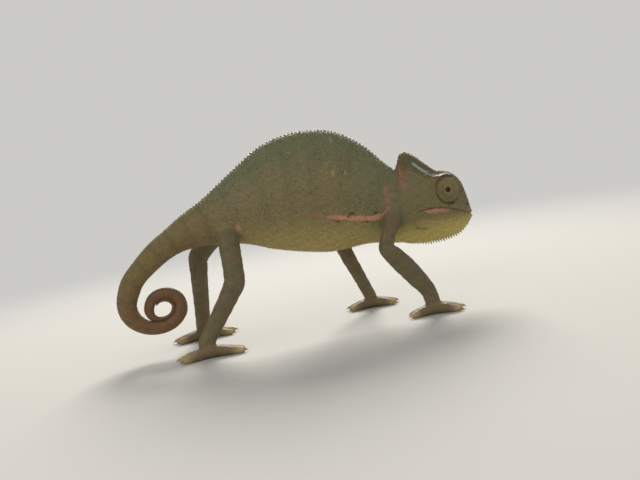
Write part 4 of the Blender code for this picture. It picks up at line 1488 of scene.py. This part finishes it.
@dataclass(frozen=True)
class Hide:
    """Living reptile skin: thin keratin over soft tissue, with a faint waxy gloss and light that seeps in."""

    name: str
    rough: float = 0.52
    seep: float = 0.12
    grain_mm: float = 0.09
    coarser: float = 3.0
    relief: float = 0.25
    relief_mm: float = 0.04
    gloss: float = 1.5
    seep_mm: float = 0.6

    def make(self) -> bpy.types.Material:
        """Builds the material from the tint attribute, with fine grain in colour, gloss and bump."""
        material = bpy.data.materials.new(self.name)
        material.use_nodes = True
        tree = material.node_tree
        shader = tree.nodes["Principled BSDF"]
        tint = add_node(tree, "ShaderNodeAttribute", {"attribute_name": "tint"})
        coordinates = add_node(tree, "ShaderNodeTexCoord")
        # The grain of 0.09 mm is drawn three times as coarse, since it is finer than the picture can show.
        noise = {"/Scale": 1 / (self.grain_mm * MM) / self.coarser, "/Detail": 3.0}
        grain = add_node(tree, "ShaderNodeTexNoise", noise, Vector=coordinates.outputs["Object"])
        spread = {"/From Min": 0.3, "/From Max": 0.7, "/To Min": 0.82, "/To Max": 1.14}
        span = add_node(tree, "ShaderNodeMapRange", spread, Value=grain.outputs["Fac"])
        shade = add_node(tree, "ShaderNodeVectorMath", {"operation": "SCALE"}, Scale=span.outputs["Result"])
        tree.links.new(tint.outputs["Color"], shade.inputs[0])
        wear = {"/To Min": self.rough - 0.08, "/To Max": self.rough + 0.08}
        gloss = add_node(tree, "ShaderNodeMapRange", wear, Value=grain.outputs["Fac"])
        depth = {"/Strength": self.relief, "/Distance": self.relief_mm * MM}
        bump = add_node(tree, "ShaderNodeBump", depth, Height=grain.outputs["Fac"])
        tree.links.new(shade.outputs["Vector"], shader.inputs["Base Color"])
        tree.links.new(gloss.outputs["Result"], shader.inputs["Roughness"])
        tree.links.new(bump.outputs["Normal"], shader.inputs["Normal"])
        shader.inputs["IOR"].default_value = self.gloss
        shader.inputs["Subsurface Weight"].default_value = self.seep
        shader.inputs["Subsurface Radius"].default_value = (1.0, 0.55, 0.25)
        shader.inputs["Subsurface Scale"].default_value = self.seep_mm * MM
        return material


@dataclass(frozen=True)
class Keratin:
    """Claw: dense keratin, straw to brown, smooth and half glossy."""

    # Growth streaks are finer than a tenth of a millimetre and are drawn coarser, so that they show.
    name: str = "claw_keratin"
    streak_mm: float = 0.25
    root: str = "#b8a377"
    tip: str = "#86704a"

    def make(self) -> bpy.types.Material:
        """Builds the claw's material, with fine streaks along it."""
        material = bpy.data.materials.new(self.name)
        material.use_nodes = True
        tree = material.node_tree
        shader = tree.nodes["Principled BSDF"]
        coordinates = add_node(tree, "ShaderNodeTexCoord")
        noise = {"/Scale": 1 / (self.streak_mm * MM), "/Detail": 2.0}
        streak = add_node(tree, "ShaderNodeTexNoise", noise, Vector=coordinates.outputs["Object"])
        blend = add_node(tree, "ShaderNodeValToRGB", Fac=streak.outputs["Fac"])
        blend.color_ramp.elements[0].position, blend.color_ramp.elements[1].position = 0.35, 0.65
        blend.color_ramp.elements[0].color = (*linear(self.tip), 1)
        blend.color_ramp.elements[1].color = (*linear(self.root), 1)
        tree.links.new(blend.outputs["Color"], shader.inputs["Base Color"])
        shader.inputs["Roughness"].default_value = 0.35
        shader.inputs["IOR"].default_value = 1.54
        return material


@dataclass
class Studio:
    """Pale floor, soft lights and the camera at the photograph's angle."""

    aim: tuple[float, float, float] = (4.267, 0.0, 13.677)
    distance: float = 142.24
    azimuth: float = -3.0
    elevation: float = 6.0
    roll: float = 10.3
    lens: float = 50.0
    surround: str = "#dcdbd8"
    glow: float = 0.84
    paper: str = "#b2b1ad"
    fade: tuple[float, float] = (0.06, 0.17)

    def camera(self) -> None:
        """A camera that looks at the aim, rolled because the animal stands level here."""
        a, e, r = (math.radians(v) for v in (self.azimuth, self.elevation, self.roll))
        back = np.array([math.sin(a) * math.cos(e), -math.cos(a) * math.cos(e), math.sin(e)])
        level = np.array([math.cos(a), math.sin(a), 0.0])
        rise = np.cross(back, level)
        right = level * math.cos(r) - rise * math.sin(r)
        up = level * math.sin(r) + rise * math.cos(r)
        data = bpy.data.cameras.new("camera")
        data.lens, data.sensor_width = self.lens, 36.0
        data.clip_start, data.clip_end = 0.005, 20.0
        obj = placed("camera", data)
        obj.matrix_world = stance(right, up, back, (np.array(self.aim) + back * self.distance) * MM)
        bpy.context.scene.camera = obj

    def light(
        self, name: str, place: tuple[float, float, float], size: float, watts: float, code: str
    ) -> None:
        """A square soft box that faces the animal.

        Args:
            name: Its name.
            place: Its middle, in metres.
            size: Length of a side, in metres.
            watts: Its power.
            code: Its colour.
        """
        data = bpy.data.lights.new(name, "AREA")
        data.size, data.energy, data.color = size, watts, linear(code)
        obj = placed(name, data)
        away = unit(np.array(place) - np.array((0.0, 0.0, 0.015)))
        side = unit(np.cross((0.0, 0.0, 1.0), away))
        obj.matrix_world = stance(side, np.cross(away, side), away, np.array(place))

    def floor(self) -> None:
        """A wide round floor whose colour fades into the background with distance."""
        radius = np.array([0.0005, 0.05, 0.15, 0.4, 1.0, 3.0])[:, None]
        turn = np.arange(64)[None] * 2 * math.pi / 64
        disc = np.stack([radius * np.cos(turn), radius * np.sin(turn), 0 * radius * turn - 2e-6], 2) / MM
        count, around = disc.shape[:2]
        faces = grid(count, around)[:, ::-1].tolist() + [list(range(around))]
        mesh = bpy.data.meshes.new("floor")
        mesh.from_pydata(disc.reshape(-1, 3) * MM, [], faces)
        # Matt paper: no shine, only the soft shadow, and it fades into the surround so that no edge shows.
        material = bpy.data.materials.new("matt_paper_floor")
        material.use_nodes = True
        tree = material.node_tree
        shader = tree.nodes["Principled BSDF"]
        shader.inputs["Base Color"].default_value = (*linear(self.paper), 1)
        shader.inputs["Roughness"].default_value = 0.9
        coordinates = add_node(tree, "ShaderNodeTexCoord")
        away = add_node(tree, "ShaderNodeVectorMath", {"operation": "LENGTH"})
        tree.links.new(coordinates.outputs["Object"], away.inputs[0])
        ends = {"interpolation_type": "SMOOTHSTEP", "/From Min": self.fade[0], "/From Max": self.fade[1]}
        fade = add_node(tree, "ShaderNodeMapRange", ends, Value=away.outputs["Value"])
        shine = {"/Color": (*linear(self.surround), 1), "/Strength": self.glow}
        glow = add_node(tree, "ShaderNodeEmission", shine)
        mixed = add_node(tree, "ShaderNodeMixShader", Fac=fade.outputs["Result"])
        tree.links.new(shader.outputs["BSDF"], mixed.inputs[1])
        tree.links.new(glow.outputs["Emission"], mixed.inputs[2])
        tree.links.new(mixed.outputs["Shader"], tree.nodes["Material Output"].inputs["Surface"])
        mesh.materials.append(material)
        obj = placed("floor", mesh)

    def world(self) -> None:
        """An even pale surround."""
        world = bpy.data.worlds.new("surround")
        world.use_nodes = True
        world.node_tree.nodes["Background"].inputs["Color"].default_value = (*linear(self.surround), 1)
        world.node_tree.nodes["Background"].inputs["Strength"].default_value = self.glow
        bpy.context.scene.world = world

    def build(self) -> None:
        """Sets camera, floor, surround and lights; the strongest is behind and above, as in the photo."""
        self.camera()
        self.floor()
        self.world()
        self.light("back_light", (0.12, 0.95, 0.62), 0.50, 20.0, "#fffaf2")
        self.light("front_light", (-0.25, -0.40, 0.30), 0.30, 0.45, "#ffffff")
        bpy.context.scene.view_settings.view_transform = "Standard"


def main() -> None:
    """Builds the animal and the studio and reports each piece."""
    logging.basicConfig(level=logging.INFO, format="%(message)s")
    spine, head, limbs = Spine(), Head(), legs()
    markings = Markings(Bones(spine, limbs), head)
    Studio().build()
    # Bare skin between the scales: softer and duller than they are, so it reads as the shadow between them.
    hide = Hide("reptile_skin", rough=0.55).make()
    # Scales: thin keratin, so each crown takes a small waxy highlight.
    scale = Hide("keratin_scale", rough=0.46, seep=0.10).make()
    skin = Skin(spine, head, limbs, markings).build().piece("skin", hide, "body_skin", tuple(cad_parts))
    slots = {
        "scales_head": "head_skin", "scales_forelimbs": "leg_skin", "scales_hindlimbs": "leg_skin",
        "scales_tail": "tail_skin",
    }  # fmt: skip
    for name, coat in Granules(markings).coats(skin).items():
        coat.piece(name, scale, slots.get(name, "body_skin"))
    Crests(spine, head, markings).build().piece("crest_spines", scale, "body_skin")
    # Wet cornea: smooth, with its low index of 1.38, so it gives a small clear highlight.
    wet = Hide("wet_eye", rough=0.16, seep=0.0, relief=0.0, gloss=1.38).make()
    Eyeballs(head).build().piece("eyeballs", wet, "eye_skin")
    claws = joined([claw for leg in limbs for claw in leg.claws()])
    claws.piece("claws", Keratin().make(), "leg_skin")


if __name__ == "__main__":
    main()
